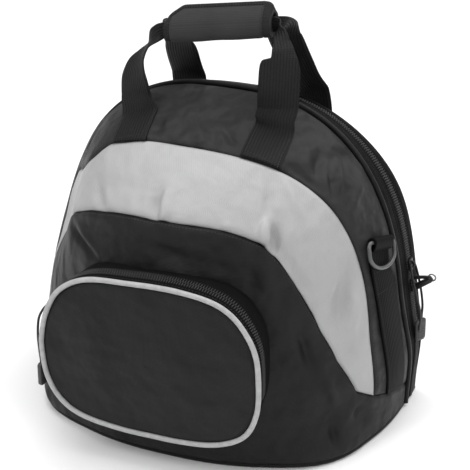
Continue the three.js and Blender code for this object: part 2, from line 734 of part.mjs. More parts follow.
function makePocketFace() {
  const rings = [1, 0.72, 0.38];
  const inset = POCKET_PIPING_RADIUS + GAP;
  const layer = (depth) => {
    const points = rings.flatMap((share) => POCKET_ANGLES.map((angle) => {
      const p = pocketFront(angle, inset);
      p.x *= share;
      p.z = POCKET.z + (p.z - POCKET.z) * share;
      p.y = POCKET.y - POCKET.crown * (1 - share ** 2) + depth;
      return p;
    }));
    points.push(new THREE.Vector3(0, POCKET.y - POCKET.crown + depth, POCKET.z));
    return points;
  };
  const count = POCKET_ANGLES.length;
  const size = rings.length * count + 1;
  const polygons = [];
  POCKET_ANGLES.forEach((_, i) => {
    const j = (i + 1) % count;
    for (let r = 0; r < rings.length - 1; r += 1) {
      const quad = [r * count + i, r * count + j, (r + 1) * count + j, (r + 1) * count + i];
      polygons.push(quad);
      polygons.push(quad.map((k) => k + size).reverse());
    }
    const fan = [(rings.length - 1) * count + i, (rings.length - 1) * count + j, size - 1];
    polygons.push(fan);
    polygons.push(fan.map((k) => k + size).reverse());
    polygons.push([i, size + i, size + j, j]);
  });
  return solidOf([...layer(0), ...layer(CLOTH)], polygons);
}

function makePocketPiping() {
  const stations = POCKET_ANGLES.map((angle) => {
    const tangent = pocketFront(angle + 0.01).sub(pocketFront(angle - 0.01));
    const across = new THREE.Vector3(0, 1, 0);
    return { at: pocketFront(angle), across, out: across.clone().cross(tangent).normalize() };
  });
  return sweep(roundSection(POCKET_PIPING_RADIUS, PIPING_SIDES), stations, true);
}

function makePocketZip() {
  const upper = POCKET_ANGLES.map((angle) => (angle > 1.5 * Math.PI ? angle - 2 * Math.PI : angle));
  const angles = upper.filter(hasPocketZip).sort((a, b) => a - b);
  const middle = POCKET_FRONT_STRIP + GAP + POCKET_ZIP_HALF;
  const stations = angles.map((angle) => pocketStation(angle, () => middle));
  return sweep(zipSection(POCKET_ZIP_HALF - GAP), stations);
}

// Webbing whose one face is a grid of points, thickened to one side or the other.
function webbing(lines, side) {
  const normals = gridNormals(lines);
  const far = lines.map((row, r) => row.map((p, c) => {
    return p.clone().addScaledVector(normals[r][c], side * WEB_THICK);
  }));
  return wall(lines, far);
}

const WEB_COLUMNS = [-1, -0.5, 0, 0.5, 1];

function sewnFrontLine(legX, y, side) {
  return WEB_COLUMNS.map((k) => {
    const p = onTop(legX + side * k * WEB_HALF, y);
    return p.add(p.clone().sub(CORE).setLength(WEB_SEAT));
  });
}

function sewnBackLine(legX, z, side) {
  return WEB_COLUMNS.map((k) => {
    return new THREE.Vector3(legX + side * k * WEB_HALF, BACK_Y + BACK_THICK + WEB_SEAT, z);
  });
}

function wrapRows(offset) {
  return [58, 29, 0, -29, -58].map((x) => {
    const z = WRAP.z + WRAP_TILT * x - WRAP_HANDLE_DROP;
    return { x, y: WRAP.y + WRAP_YAW * x + offset, z, turn: 90, lean: 0, half: WRAP_WEB_HALF };
  });
}

// Lines across the webbing along a free run, its width turned about the front-to-back axis and leant to the back.
function freeLines(rows, steps) {
  const places = new THREE.CatmullRomCurve3(rows.map((row) => new THREE.Vector3(row.x, row.y, row.z)));
  const shapes = new THREE.CatmullRomCurve3(rows.map((row) => new THREE.Vector3(row.turn, row.half, row.lean)));
  return Array.from({ length: steps + 1 }, (_, i) => {
    const shape = shapes.getPoint(i / steps);
    const turn = THREE.MathUtils.degToRad(shape.x);
    const across = new THREE.Vector3(Math.cos(turn), Math.tan(THREE.MathUtils.degToRad(shape.z)), Math.sin(turn));
    const tangent = places.getTangent(i / steps);
    across.addScaledVector(tangent, -across.dot(tangent)).normalize();
    const middle = places.getPoint(i / steps);
    return WEB_COLUMNS.map((k) => middle.clone().addScaledVector(across, k * shape.y));
  });
}

function spread(from, to, steps) {
  return Array.from({ length: steps + 1 }, (_, i) => THREE.MathUtils.lerp(from, to, i / steps));
}

function makeFrontHandle() {
  const ys = spread(SEWN_FRONT.from, SEWN_FRONT.to, SEWN_FRONT.steps);
  const rows = [...FRONT_RIGHT_LEG, ...wrapRows(-WRAP_HANDLE_GAP), ...[...FRONT_LEFT_LEG].reverse()];
  const splay = (y) => LEFT_LEG_SPLAY * (THREE.MathUtils.inverseLerp(SEWN_FRONT.from, SEWN_FRONT.to, y) - 0.4);
  return webbing([
    ...ys.map((y) => sewnFrontLine(LEG_X, y, 1)),
    ...freeLines(rows, FRONT_HANDLE_STEPS),
    ...[...ys].reverse().map((y) => sewnFrontLine(-LEG_X - splay(y), y, -1)),
  ], 1);
}

function makeBackHandle() {
  const zs = spread(SEWN_BACK.from, SEWN_BACK.to, SEWN_BACK.steps);
  const rows = [...BACK_RIGHT_LEG, ...wrapRows(WRAP_HANDLE_GAP), ...[...BACK_LEFT_LEG].reverse()];
  return webbing([
    ...zs.map((z) => sewnBackLine(LEG_X, z, 1)),
    ...freeLines(rows, BACK_HANDLE_STEPS),
    ...[...zs].reverse().map((z) => sewnBackLine(-LEG_X, z, -1)),
  ], -1);
}

function makeWrap() {
  const layer = (inset) => WRAP_ENDS.map(({ x, top }) => {
    return Array.from({ length: WRAP_AROUND }, (_, c) => {
      const angle = (2 * Math.PI * c) / WRAP_AROUND;
      const cosine = Math.cos(angle);
      const sine = Math.sin(angle);
      const thin = THREE.MathUtils.lerp(1, WRAP.rim, THREE.MathUtils.smoothstep(sine, -0.2, 1));
      const depth = thin * (WRAP.halfDepth - inset) * Math.sign(cosine) * Math.abs(cosine) ** (2 / WRAP.power);
      const whole = (WRAP.halfHeight - inset) * Math.sign(sine) * Math.abs(sine) ** (2 / WRAP.power);
      const high = sine > 0 ? top * whole : whole;
      return new THREE.Vector3(x, WRAP.y + WRAP_YAW * x + depth, WRAP.z + WRAP_TILT * x + high);
    });
  });
  return wall(layer(0), layer(WRAP.pad), true);
}

// The flat place on the right side where the strap's loop holds the D-ring.
function loopFrame() {
  const at = onSide(STRAP_Y, LOOP_Z);
  const across = onSide(STRAP_Y + WEB_HALF, LOOP_Z).sub(onSide(STRAP_Y - WEB_HALF, LOOP_Z)).normalize();
  const up = onSide(STRAP_Y, LOOP_Z + 8).sub(onSide(STRAP_Y, LOOP_Z - 8)).normalize();
  const out = across.clone().cross(up).normalize();
  across.applyAxisAngle(out, -LOOP_TILT);
  return { at, across, up: out.clone().cross(across).normalize(), out };
}

// Rows up the strap, round the bar and down again: each face's height from the bar and stand-off.
function strapRows() {
  const turn = RING_WIRE + LOOP_CLEAR;
  const strip = spread(STRAP_FOOT_Z - LOOP_Z, -14, 8).map((rise) => {
    return { back: [rise, WEB_SEAT], front: [rise, WEB_SEAT + WEB_THICK] };
  });
  const loop = spread(-Math.PI / 2, Math.PI / 2, 8).map((angle) => {
    const at = (radius) => [radius * Math.cos(angle), LOOP_OUT + radius * Math.sin(angle)];
    return { back: at(turn + WEB_THICK), front: at(turn) };
  });
  const tail = STRAP_TAIL.map(({ rise, out }) => ({ back: [rise, out], front: [rise, out - WEB_THICK] }));
  return [...strip, ...loop, ...tail];
}

// A point on the strap, which follows the body low down and is flat and drawn in at the loop.
function strapPoint(loop, [rise, standOff], k) {
  const share = THREE.MathUtils.smoothstep(rise, -46, -16);
  const aside = k * WEB_HALF * (1 - LOOP_NARROWED * share);
  const flat = loop.at.clone().addScaledVector(loop.across, aside).addScaledVector(loop.up, rise);
  const low = THREE.MathUtils.clamp((rise + 46) / (STRAP_FOOT_Z - LOOP_Z + 46), 0, 1);
  const y = STRAP_Y + low * STRAP_FOOT_BACK + aside;
  const z = Math.min(LOOP_Z + rise, LOOP_Z) - (low * STRAP_FOOT_SLANT * (k + 1)) / 2;
  const slopeY = onSide(y + 2, z).sub(onSide(y - 2, z));
  const slopeZ = onSide(y, z + 2).sub(onSide(y, z - 2));
  const out = slopeY.cross(slopeZ).normalize().lerp(loop.out, share).normalize();
  return onSide(y, z).lerp(flat, share).addScaledVector(out, standOff);
}

function makeSideStrap() {
  const loop = loopFrame();
  const face = (side) => strapRows().map((row) => WEB_COLUMNS.map((k) => strapPoint(loop, row[side], k)));
  return wall(face("back"), face("front"));
}

function makeRing() {
  const loop = loopFrame();
  const path = new THREE.Path();
  const inner = RING_HALF - RING_CORNER;
  path.moveTo(-inner, 0);
  path.lineTo(inner, 0);
  path.absarc(inner, -RING_CORNER, RING_CORNER, Math.PI / 2, 0, true);
  path.absellipse(0, -RING_SHANK, RING_HALF, RING_DROP - RING_SHANK, 0, -Math.PI, true);
  path.absarc(-inner, -RING_CORNER, RING_CORNER, Math.PI, Math.PI / 2, true);
  const points = path.getSpacedPoints(RING_STEPS).slice(0, RING_STEPS);
  const centre = loop.at.clone().addScaledVector(loop.out, LOOP_OUT);
  const stations = points.map((p, i) => {
    const before = points[(i + RING_STEPS - 1) % RING_STEPS];
    const ahead = points[(i + 1) % RING_STEPS].clone().sub(before).normalize();
    const side = loop.across.clone().multiplyScalar(-ahead.y).addScaledVector(loop.up, ahead.x);
    const at = centre.clone().addScaledVector(loop.across, p.x).addScaledVector(loop.up, p.y);
    return { at, across: loop.out, out: side };
  });
  return sweep(roundSection(RING_WIRE, PIPING_SIDES), stations, true);
}

const BORE_RISE = SLIDER.plate + 0.6;

// A slider seen from its side: plate, bridge and the bore that the pull's cord runs through.
function makeSlider(frame) {
  const long = SLIDER.long / 2;
  const bridge = SLIDER.bridgeLong / 2;
  const rows = [
    [-long, 0],
    [long, 0],
    [long, SLIDER.plate],
    [bridge, SLIDER.plate],
    [bridge - 1.4, SLIDER.bridge],
    [1.4 - bridge, SLIDER.bridge],
    [-bridge, SLIDER.plate],
    [-long, SLIDER.plate],
  ];
  const contour = rows.map(([along, out]) => new THREE.Vector2(along, out));
  const bore = roundSection(SLIDER.bore, 8).map((p) => new THREE.Vector2(p.x, p.y + BORE_RISE));
  return acrossWidth(contour, bore, 1, (p, k) => {
    const at = frame.at.clone().addScaledVector(frame.along, p.x).addScaledVector(frame.side, k * SLIDER.half);
    return at.addScaledVector(frame.out, SLIDER_SEAT + p.y);
  });
}

function boreOf(frame) {
  return frame.at.clone().addScaledVector(frame.out, SLIDER_SEAT + BORE_RISE);
}

// A cord loop through the slider's bore, with both ends at the top of the tab.
function pullPoint(frame, row, sign) {
  const hang = boreOf(frame).addScaledVector(frame.side, sign * row.side);
  return hang.addScaledVector(frame.level, row.out).add(new THREE.Vector3(0, 0, -row.drop));
}

function makePullCord(frame, rows) {
  const down = rows.map((row) => pullPoint(frame, row, 1));
  const back = rows.map((row) => pullPoint(frame, row, -1)).reverse();
  const curve = new THREE.CatmullRomCurve3([...back, boreOf(frame), ...down]);
  const section = new THREE.Shape(roundSection(CORD_RADIUS, 6));
  const steps = 2 * Math.ceil(curve.getLength() / (10 * CORD_RADIUS));
  return new THREE.ExtrudeGeometry(section, { steps, extrudePath: curve, bevelEnabled: false });
}

function tabOutline() {
  const half = TAB.width / 2;
  const shape = new THREE.Shape();
  shape.moveTo(-half + TAB.corner, 0);
  shape.lineTo(half - TAB.corner, 0);
  shape.absarc(half - TAB.corner, -TAB.corner, TAB.corner, Math.PI / 2, 0, true);
  shape.absarc(half - TAB.corner, TAB.corner - TAB.long, TAB.corner, 0, -Math.PI / 2, true);
  shape.absarc(TAB.corner - half, TAB.corner - TAB.long, TAB.corner, -Math.PI / 2, -Math.PI, true);
  shape.absarc(TAB.corner - half, -TAB.corner, TAB.corner, Math.PI, Math.PI / 2, true);
  return shape;
}

function makePullTab(frame, rows, turn) {
  const last = rows[rows.length - 1];
  const top = pullPoint(frame, { side: 0, drop: last.drop + GAP, out: last.out }, 1);
  const depth = TAB.thick;
  const tab = new THREE.ExtrudeGeometry(tabOutline(), { depth, bevelEnabled: false, curveSegments: 3 });
  tab.translate(0, 0, -depth / 2);
  tab.rotateY(THREE.MathUtils.degToRad(turn));
  const up = new THREE.Vector3(0, 0, 1);
  const side = up.clone().cross(frame.level).normalize();
  const basis = new THREE.Matrix4().makeBasis(side, up, frame.level);
  return tab.applyMatrix4(basis.setPosition(top));
}

// The lower slider's stiff pull, which stands out from the zip and a little up.
function makeUpperPull(frame) {
  const { half, neck, long, thick, rise } = UPPER_PULL;
  const tip = half * 0.7;
  const outline = [[-neck, 0], [neck, 0], [half, long * 0.65], [tip, long], [-tip, long], [-half, long * 0.65]];
  const contour = outline.map(([side, reach]) => new THREE.Vector2(side, reach));
  const angle = THREE.MathUtils.degToRad(rise);
  const cosine = Math.cos(angle);
  const sine = Math.sin(angle);
  const reachWay = frame.out.clone().multiplyScalar(cosine).addScaledVector(frame.along, sine);
  const thickWay = frame.along.clone().multiplyScalar(cosine).addScaledVector(frame.out, -sine);
  const seat = SLIDER_SEAT + SLIDER.bridge + (thick / 2) * Math.abs(sine) + GAP;
  const root = frame.at.clone().addScaledVector(frame.out, seat);
  return acrossWidth(contour, [], 1, (p, k) => {
    const at = root.clone().addScaledVector(frame.side, p.x).addScaledVector(reachWay, p.y);
    return at.addScaledVector(thickWay, (k * thick) / 2);
  });
}

function levelOf(out) {
  return new THREE.Vector3(out.x, out.y, 0).normalize();
}

function mainSliderFrame(z) {
  let share = 0;
  while (gussetStation(share, zipMiddle).at.z < z) share += 0.0005;
  const station = gussetStation(share, zipMiddle);
  const along = ARCH.getTangentAt(share);
  return { at: station.at, along, side: station.across, out: station.out, level: levelOf(station.out) };
}

function pocketSliderFrame() {
  const middle = POCKET_FRONT_STRIP + GAP + POCKET_ZIP_HALF;
  const station = pocketStation(POCKET_SLIDER_ANGLE, () => middle);
  const along = station.across.clone().cross(station.out).normalize();
  return { at: station.at, along, side: station.across, out: station.out, level: levelOf(station.out) };
}

const bag = new THREE.Group();

function addPiece(name, geometry, material) {
  const mesh = new THREE.Mesh(geometry, material);
  mesh.name = name;
  bag.add(mesh);
}

addPiece("upper_panel", makeUpperPanel(), BLACK);
addPiece("silver_band", makeSilverBand(), SILVER);
addPiece("lower_panel", makeLowerPanel(), BLACK);
addPiece("base_panel", makeBasePanel(), BLACK);
addPiece("base_piping", makeBasePiping(), PIPING);
addPiece("back_panel", makeBackPanel(), BLACK);
addPiece("seam_piping", makeSeamPiping(), PIPING);
addPiece("gusset_front", gussetStrip(() => SEAM_CLEAR, (w) => zipMiddle(w) - ZIP_HALF - GAP), BLACK);
addPiece("main_zip", makeMainZip(), ZIP);
addPiece("gusset_back", gussetStrip((w) => zipMiddle(w) + ZIP_HALF + GAP, (w) => w - GAP), BLACK);

addPiece("pocket_face", makePocketFace(), BLACK);
addPiece("pocket_piping", makePocketPiping(), GREY_PIPING);
addPiece("pocket_gusset_front", pocketRing(() => () => 0, () => () => POCKET_FRONT_STRIP), BLACK);
addPiece("pocket_gusset_back", pocketRing((a) => () => pocketZipBack(a), () => (w) => w), BLACK);
addPiece("pocket_zip", makePocketZip(), ZIP);

addPiece("handle_front", makeFrontHandle(), WEBBING);
addPiece("handle_back", makeBackHandle(), WEBBING);
addPiece("handle_wrap", makeWrap(), BLACK);

addPiece("side_strap", makeSideStrap(), WEBBING);
addPiece("d_ring", makeRing(), RING_GREY);

const upperSlider = mainSliderFrame(SLIDER_PAIR_Z + SLIDER_SPACING);
const lowerSlider = mainSliderFrame(SLIDER_PAIR_Z - SLIDER_SPACING);
const pocketSlider = pocketSliderFrame();
addPiece("main_slider_upper", makeSlider(upperSlider), PULL_GREY);
addPiece("upper_pull", makeUpperPull(lowerSlider), PULL_GREY);
addPiece("main_slider_lower", makeSlider(lowerSlider), PULL_GREY);
addPiece("lower_pull_cord", makePullCord(upperSlider, MAIN_PULL), WEBBING);
addPiece("lower_pull_tab", makePullTab(upperSlider, MAIN_PULL, -MAIN_TAB_TURN), PULL_GREY);
addPiece("pocket_slider", makeSlider(pocketSlider), PULL_GREY);
addPiece("pocket_pull_cord", makePullCord(pocketSlider, POCKET_PULL), WEBBING);
addPiece("pocket_pull_tab", makePullTab(pocketSlider, POCKET_PULL, 0), PULL_GREY);

export default bag;
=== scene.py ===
"""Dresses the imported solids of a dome-shaped motorcycle tank bag in cloth, webbing, zips and piping."""

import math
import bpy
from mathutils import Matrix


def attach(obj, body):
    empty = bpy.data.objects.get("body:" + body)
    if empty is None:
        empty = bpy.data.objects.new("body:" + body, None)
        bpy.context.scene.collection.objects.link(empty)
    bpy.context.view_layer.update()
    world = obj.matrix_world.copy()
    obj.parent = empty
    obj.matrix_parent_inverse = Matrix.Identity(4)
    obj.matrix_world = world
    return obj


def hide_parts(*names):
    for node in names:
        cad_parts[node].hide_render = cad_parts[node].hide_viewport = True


bl_info = {
    "name": "Motorcycle tank bag",
    "version": (1, 0, 0),
    "blender": (4, 5, 0),
    "location": "View3D > Sidebar > Tank bag",
    "description": "Sewn cloth body, front pocket, handles and zip pulls of a motorcycle tank bag",
    "category": "Object",
}

import bpy
import numpy as np
from mathutils import Matrix, Vector

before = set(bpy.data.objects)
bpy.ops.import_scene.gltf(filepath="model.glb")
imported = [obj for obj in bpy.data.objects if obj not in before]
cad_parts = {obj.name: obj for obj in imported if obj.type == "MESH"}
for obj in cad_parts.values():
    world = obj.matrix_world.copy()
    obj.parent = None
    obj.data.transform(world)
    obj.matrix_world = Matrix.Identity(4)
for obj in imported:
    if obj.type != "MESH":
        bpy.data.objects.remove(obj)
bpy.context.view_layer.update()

# Sizes and tables below are in millimetres; meshes are made in metres.
MM = 0.001

# Main body, the surface that the solids have before the folds below.
HALF_WIDTH = 189.5
HEIGHT = 334.5
SHOULDER_POWER = 3.3
CROWN_POWER = 2.45
HIP = {"rise": 5.0, "z": 68.0, "spread": 42.0}
SEAM_Y = 56.0
SEAM_FOOT_SLIDE = 21.0
SEAM_SLIDE_HEIGHT = 150.0
BACK_Y = 111.0
BACK_THICK = 3.0
BACK_DROP = 17.0
BACK_DROP_FROM = 200.0
BACK_DROP_OVER = 120.0
CORE = np.array([0.0, 40.0, 110.0])
SKIRT_SEAM_Z = 30.0
GUSSET_FOOT_Z = 3.5
LOWER_PANEL_Z = 5.8
BASE_THICK = 3.0
BASE_PIPING_RADIUS = 2.5
BASE_PIPING_Z = 2.9
PIPING_RADIUS = 2.5
PIPING_PROUD = 0.8
SEAM_CLEAR = 2.9
ZIP_HALF = 10.0
ZIP_CENTRE = 0.53
BACK_MIDDLE_Z = 120.0
BASE_MIDDLE_Y = 20.0
BASE_PAST_BACK = 2.8
MIRROR = np.array([-1.0, 1.0, 1.0])
# How far cloth goes under its piping, and how far the back lies in from the solid's outer face.
SEAM_TUCK = 0.6
BACK_SUNK = 0.6
# Size of a panel's innermost ring of points, as a share of its rim.
INNER_RING = 0.004

# Horizontal sections of the front, floor to crown: height, reach ahead of the arch seam, squareness.
SECTIONS = (
    (0, 163, 2.45),
    (20, 170, 2.40),
    (45, 171, 2.32),
    (120, 169, 2.08),
    (200, 166, 2.00),
    (243, 158, 2.00),
    (262, 146, 2.05),
    (280, 129, 2.10),
    (301, 101, 2.20),
    (318, 66, 2.30),
    (329, 34, 2.35),
    (334.5, 0, 2.40),
)

# Seams across the front, right half, from the foot to the middle: x, y, z.
SILVER_OUTER = (
    (182, -6, 54),
    (177, -6, 110),
    (166, -5, 183),
    (143, -13, 242),
    (111, -25, 278),
    (88, -31, 291),
    (52, -37, 301),
    (0, -39, 305),
)
SILVER_INNER = (
    (171, -29, 69),
    (150, -48, 123),
    (131, -60, 168),
    (106, -72, 216),
    (95, -76, 229),
    (82, -81, 238),
    (57, -89, 247),
    (0, -98, 251),
)
# The same seams' left halves, written as if on the right. They lie further back.
SILVER_OUTER_LEFT = (
    (183, 6, 54),
    (176, 0, 118),
    (166, -4, 163),
    (164, 8, 181),
    (159, 18, 206),
    (150, 12, 238),
    (137, -11, 253),
    (122, -26, 264),
    (104, -30.5, 280),
    (90.5, -29.5, 290.5),
    (71.5, -34, 297),
    (53, -35, 301.5),
    (0, -39, 305),
)
SILVER_INNER_LEFT = (
    (174, -12, 69),
    (167, -14, 123),
    (157, -18, 168),
    (144, -31, 203),
    (135, -43, 216),
    (123.5, -54, 223),
    (108, -66, 230.5),
    (87, -77.5, 239.5),
    (54.5, -90, 247.3),
    (0, -98, 251),
)

# Folds and dents: middle, run of the crease, half length, half width, rise.
FOLDS = (
    ((90, -72, 245), (0.09, 0.51, 0.86), 13, 6, 4.0),
    ((99, -69, 240), (0.16, 0.51, 0.84), 14, 7, -3.5),
    ((-2, -91, 260), (0.25, 0.59, 0.77), 16, 7, 3.0),
    ((-12, -90, 261), (0.18, 0.60, 0.78), 16, 8, -2.5),
    ((149, -41, 156), (-0.23, -0.49, -0.84), 32, 13, -4.0),
    ((160, -38, 106), (-0.28, -0.58, -0.76), 18, 10, -3.0),
    ((-81, -73, 254), (0.58, -0.67, -0.47), 22, 12, -3.0),
    ((30, -100, 216), (0.99, 0.13, -0.05), 58, 14, -5.0),
    ((94, -81, 211), (0.20, -0.09, -0.97), 22, 8, 3.5),
    ((134, 25, 276), (0.50, -0.44, -0.74), 26, 10, -3.0),
    ((175, -19, 34), (0.11, 0.37, -0.92), 22, 10, -3.5),
    ((156, -52, 49), (-0.13, -0.17, -0.98), 26, 12, -3.0),
    ((-150, -15, 215), (-0.33, 0.00, -0.94), 55, 40, -14.0),
)

# Where the foot bulges level with the ground: middle, run, half length, half width, rise.
FOOT_FOLDS = (
    ((-146, -62, 12), (0.62, -0.78, 0.00), 44, 26, 9.5),
    ((148, -56, 6), (0.62, 0.78, 0.00), 44, 22, 8.0),
)

# Finer wrinkles of the cloth, laid over the folds: middle, run, half length, half width, rise.
WRINKLES = (
    ((90, -75, 243), (0.03, -0.40, -0.91), 12, 3.6, 9.0),
    ((99, -70, 239), (0.13, -0.31, -0.94), 13, 4.5, -6.5),
    ((57, -88, 251), (-0.04, -0.53, -0.85), 6, 3.2, 2.2),
    ((-4, -88, 264), (0.10, -0.64, -0.76), 18, 5, 3.6),
    ((-12, -90, 261), (0.23, -0.61, -0.76), 14, 6, -3.2),
    ((-82, -73, 254), (0.50, -0.67, -0.55), 15, 5, -3.4),
    ((-71, -77, 258), (0.55, -0.66, -0.51), 13, 5, 2.6),
    ((86, -54, 273), (0.26, -0.59, -0.76), 24, 5, -3.2),
    ((105, -42, 269), (0.56, -0.27, -0.79), 24, 5, 3.2),
    ((155, -31, 167), (0.00, -0.28, -0.96), 29, 8, -6.0),
    ((164, -22, 151), (0.01, -0.26, -0.96), 22, 7, 4.2),
    ((116, -66, 208), (0.45, 0.16, -0.88), 26, 6, -3.4),
    ((133, 12, 276), (0.23, -0.77, -0.59), 27, 5, 5.0),
    ((129, 3, 276), (0.34, -0.62, -0.71), 19, 4.5, -5.0),
    ((147, 23, 258), (0.10, -0.87, -0.48), 19, 6, 4.2),
    ((115, 1, 290), (0.12, -0.86, -0.49), 20, 6, -4.6),
    ((110, -19, 282), (0.79, 0.20, -0.58), 19, 3.5, -4.0),
    ((35, -22, 311), (0.60, -0.70, -0.39), 15, 5, -4.6),
    ((-41, -20, 311), (0.32, -0.88, -0.36), 13, 5, -4.2),
    ((-11, -8, 319), (0.64, -0.72, -0.27), 25, 6, 3.8),
    ((-98, -80, 205), (0.77, -0.58, -0.27), 28, 5, -4.0),
    ((-89, -84, 212), (0.78, -0.54, -0.32), 25, 6.5, 2.4),
    ((6, -107, 224), (0.99, 0.00, -0.16), 18, 6, -4.8),
    ((156, -52, 29), (0.06, 0.13, -0.99), 14, 5, -4.1),
    ((173, -27, 46), (-0.34, -0.60, -0.73), 8, 4.5, -3.7),
    ((131, -67, 125), (0.25, 0.08, -0.97), 23, 6, -4.6),
    ((152, -54, 80), (0.31, 0.21, -0.93), 23, 6, 4.2),
)

# Front pocket.
POCKET = {"half_width": 113.0, "half_height": 80.7, "z": 120.8, "power": 2.9, "y": -137.0, "crown": 8.0}
POCKET_ROOT = {"half_width": 106.0, "rise": 85.0, "drop": 80.0}
# How far the filled pocket's outline stands out or in, by the angle round its middle.
POCKET_SLUMP = (
    (-180, 1.035),
    (-154, 1.032),
    (-133, 1.047),
    (-112, 1.018),
    (-80, 1.01),
    (-46, 1.015),
    (-24, 0.987),
    (15, 0.97),
    (33, 0.964),
    (58, 1.008),
    (85, 1.0),
    (105, 0.985),
    (125, 1.005),
    (150, 0.993),
    (165, 1.01),
    (180, 1.035),
)
POCKET_PIPING_RADIUS = 2.6
POCKET_FRONT_STRIP = 6.0
POCKET_ZIP_HALF = 6.0
POCKET_ZIP_END = -8.0
POCKET_SLIDER_ANGLE = 164.0
POCKET_CLOTH = 2.2
POCKET_FORWARD = 0.6
GAP = 0.35

# Webbing.
WEB_HALF = 19.0
WEB_THICK = 2.2
WEB_SEAT = 0.5
LEG_X = 69.0
LEFT_LEG_SPLAY = 5.0
SEWN_FRONT = (-34.0, 6.0)
SEWN_CLEAR = 0.6
SEWN_BACK = (258.0, 304.0)
STRAP_Y = 23.5
STRAP_FOOT_Z = 48.0
STRAP_FOOT_SLANT = 10.0
STRAP_FOOT_BACK = 8.0
LOOP_Z = 208.5
LOOP_NARROWED = 0.16
LOOP_TILT = math.radians(14)
RING_WIRE = 2.2
RING_WIRE_SHOWN = 0.86
RING_HALF = 22.2
RING_DROP = 26.0
RING_CORNER = 5.0
RING_SHANK = 12.0
LOOP_CLEAR = 0.5
LOOP_OUT = WEB_SEAT + WEB_THICK + LOOP_CLEAR + RING_WIRE
STRAP_TAIL = ((-5.0, 8.9), (-9.0, 5.6))
# The strap leaves the body's curve this far below the loop, and is flat after this length.
LOOP_FLAT_FROM = 46
LOOP_FLAT_OVER = 30
STITCH_INSET = 16.0
# Where the front handle leaves the cloth: how far the right and left leg sag over the crease, and the ways
# down the cloth and away from it.
CREASE_SAG = (5.2, 1.2)
CREASE_DOWN = np.array([0.0, -0.886, -0.464])
CREASE_AWAY = np.array([0.0, -0.464, 0.886])

# Free run of each handle leg up to the wrap: x, y, z, turn of the width from across to upright, lean of its
# outer edge to the back, and reach of the inner and outer edges, which drops where the webbing folds up.
FRONT_RIGHT_LEG = (
    (69.5, 10.5, 334, 0, 14, 19.5, 19.5),
    (70, 11, 352, 0, 20, 20, 20),
    (70, 13, 367, 3, 21, 20, 20),
    (69.8, 14.6, 376, 7, 22, 19.6, 19),
    (69.6, 15.8, 381.5, 9, 24, 17.5, 17.5),
    (69.4, 16.8, 384.5, 13, 27, 9.2, 16),
    (68.3, 20, 391, 26, 40, 8.6, 12.6),
    (64, 27, 397.5, 46, 58, 5.8, 10),
    (60.5, 36.5, 403, 74, 36, 6, 8),
)
FRONT_LEFT_LEG = (
    (-78.5, 9.5, 329, 180, 12, 18.5, 18.5),
    (-80, 10.5, 345, 178, 24, 19, 19),
    (-79, 13, 358, 170, 42, 18.5, 18.5),
    (-75, 16.5, 368, 156, 64, 17, 17),
    (-69.5, 20, 377, 136, 76, 14, 14),
    (-65, 23, 385, 112, 48, 10, 10),
    (-61, 25.5, 391, 98, 14, 8, 8),
)
BACK_RIGHT_LEG = (
    (68, 115.2, 317, 0, 0, 19, 19),
    (60, 106, 334, 0, 0, 19, 19),
    (55, 95, 355, 2, 0, 19, 19),
    (51.5, 84, 374, 4, 4, 18.5, 18.5),
    (51.5, 72, 390, 12, 8, 16.5, 16.5),
    (59.5, 61, 399.5, 40, 8, 11.5, 11.5),
    (61.5, 50, 406.5, 72, 4, 8, 8),
)
BACK_LEFT_LEG = (
    (-70, 115.2, 317, 180, 0, 19, 19),
    (-69, 104, 332, 180, 0, 18.5, 18.5),
    (-68, 95, 346, 180, 2, 18.5, 18.5),
    (-65, 84, 362, 176, 6, 17, 17),
    (-61.5, 70, 377, 160, 12, 13.5, 13.5),
    (-60.5, 50, 389, 130, 14, 9.5, 9.5),
    (-61, 37, 393, 100, 4, 7.5, 7.5),
)
WRAP = {"y": 36.0, "z": 406.6, "half_depth": 12.0, "half_height": 18.0, "rim": 0.4, "pad": 3.0, "power": 2.6}
WRAP_ENDS = (
    (-52.5, 0.3), (-50, 0.5), (-44, 0.74), (-34, 1), (41, 1), (47, 0.95), (50.5, 0.8), (52, 0.55),
)
WRAP_BINDING = (5.5, 8.5, 2.6)
WRAP_TILT = 0.125
WRAP_YAW = 0.14
WRAP_HANDLE_GAP = 1.5
WRAP_HANDLE_DROP = 6.0
WRAP_WEB_HALF = 7.5

# Zip sliders: blocks of plate and wings as width, length and height, and the bow over them.
SLIDER_SEAT = 1.75
BORE_RISE = 3.2
SLIDER_PAIR_Z = 147.0
SLIDER_SPACING = 11.5
SLIDER_PLATE = (7.6, 13.0, 3.2)
SLIDER_WINGS = (9.2, 5.4, 2.2)
SLIDER_BOW = {"reach": 3.2, "foot": 2.2, "wire": 1.15}
# Hanging pulls, from the slider's bore to the tab: side step, drop, step out.
CORD_RADIUS = 1.25
CORD_TURN = {"radius": 5.0, "inside_tab": 9.0}
CORD_START = (0.6, 0.0, 0.0)
TAB = {"width": 13.4, "long": 25.0, "thick": 5.6, "corner": 3.6}
MAIN_TAB_TURN = math.radians(32)
MAIN_PULL = (
    (3.0, 0.0, 0.0),
    (5.4, 0.8, 0.3),
    (7.4, 5.0, 1.5),
    (8.2, 14.0, 4.0),
    (8.0, 32.0, 8.5),
    (5.0, 47.0, 11.6),
    (2.4, 59.5, 12.0),
)
POCKET_PULL = (
    (3.2, 0.3, 0.2),
    (5.6, 2.0, 1.6),
    (6.6, 6.6, 5.2),
    (5.8, 18.0, 11.5),
    (4.4, 38.0, 15.0),
    (3.2, 56.0, 15.0),
    (2.4, 70.0, 14.5),
)
UPPER_PULL = {"long": 19.0, "thick": 5.8, "rise": 30.0, "ring": 3.7}

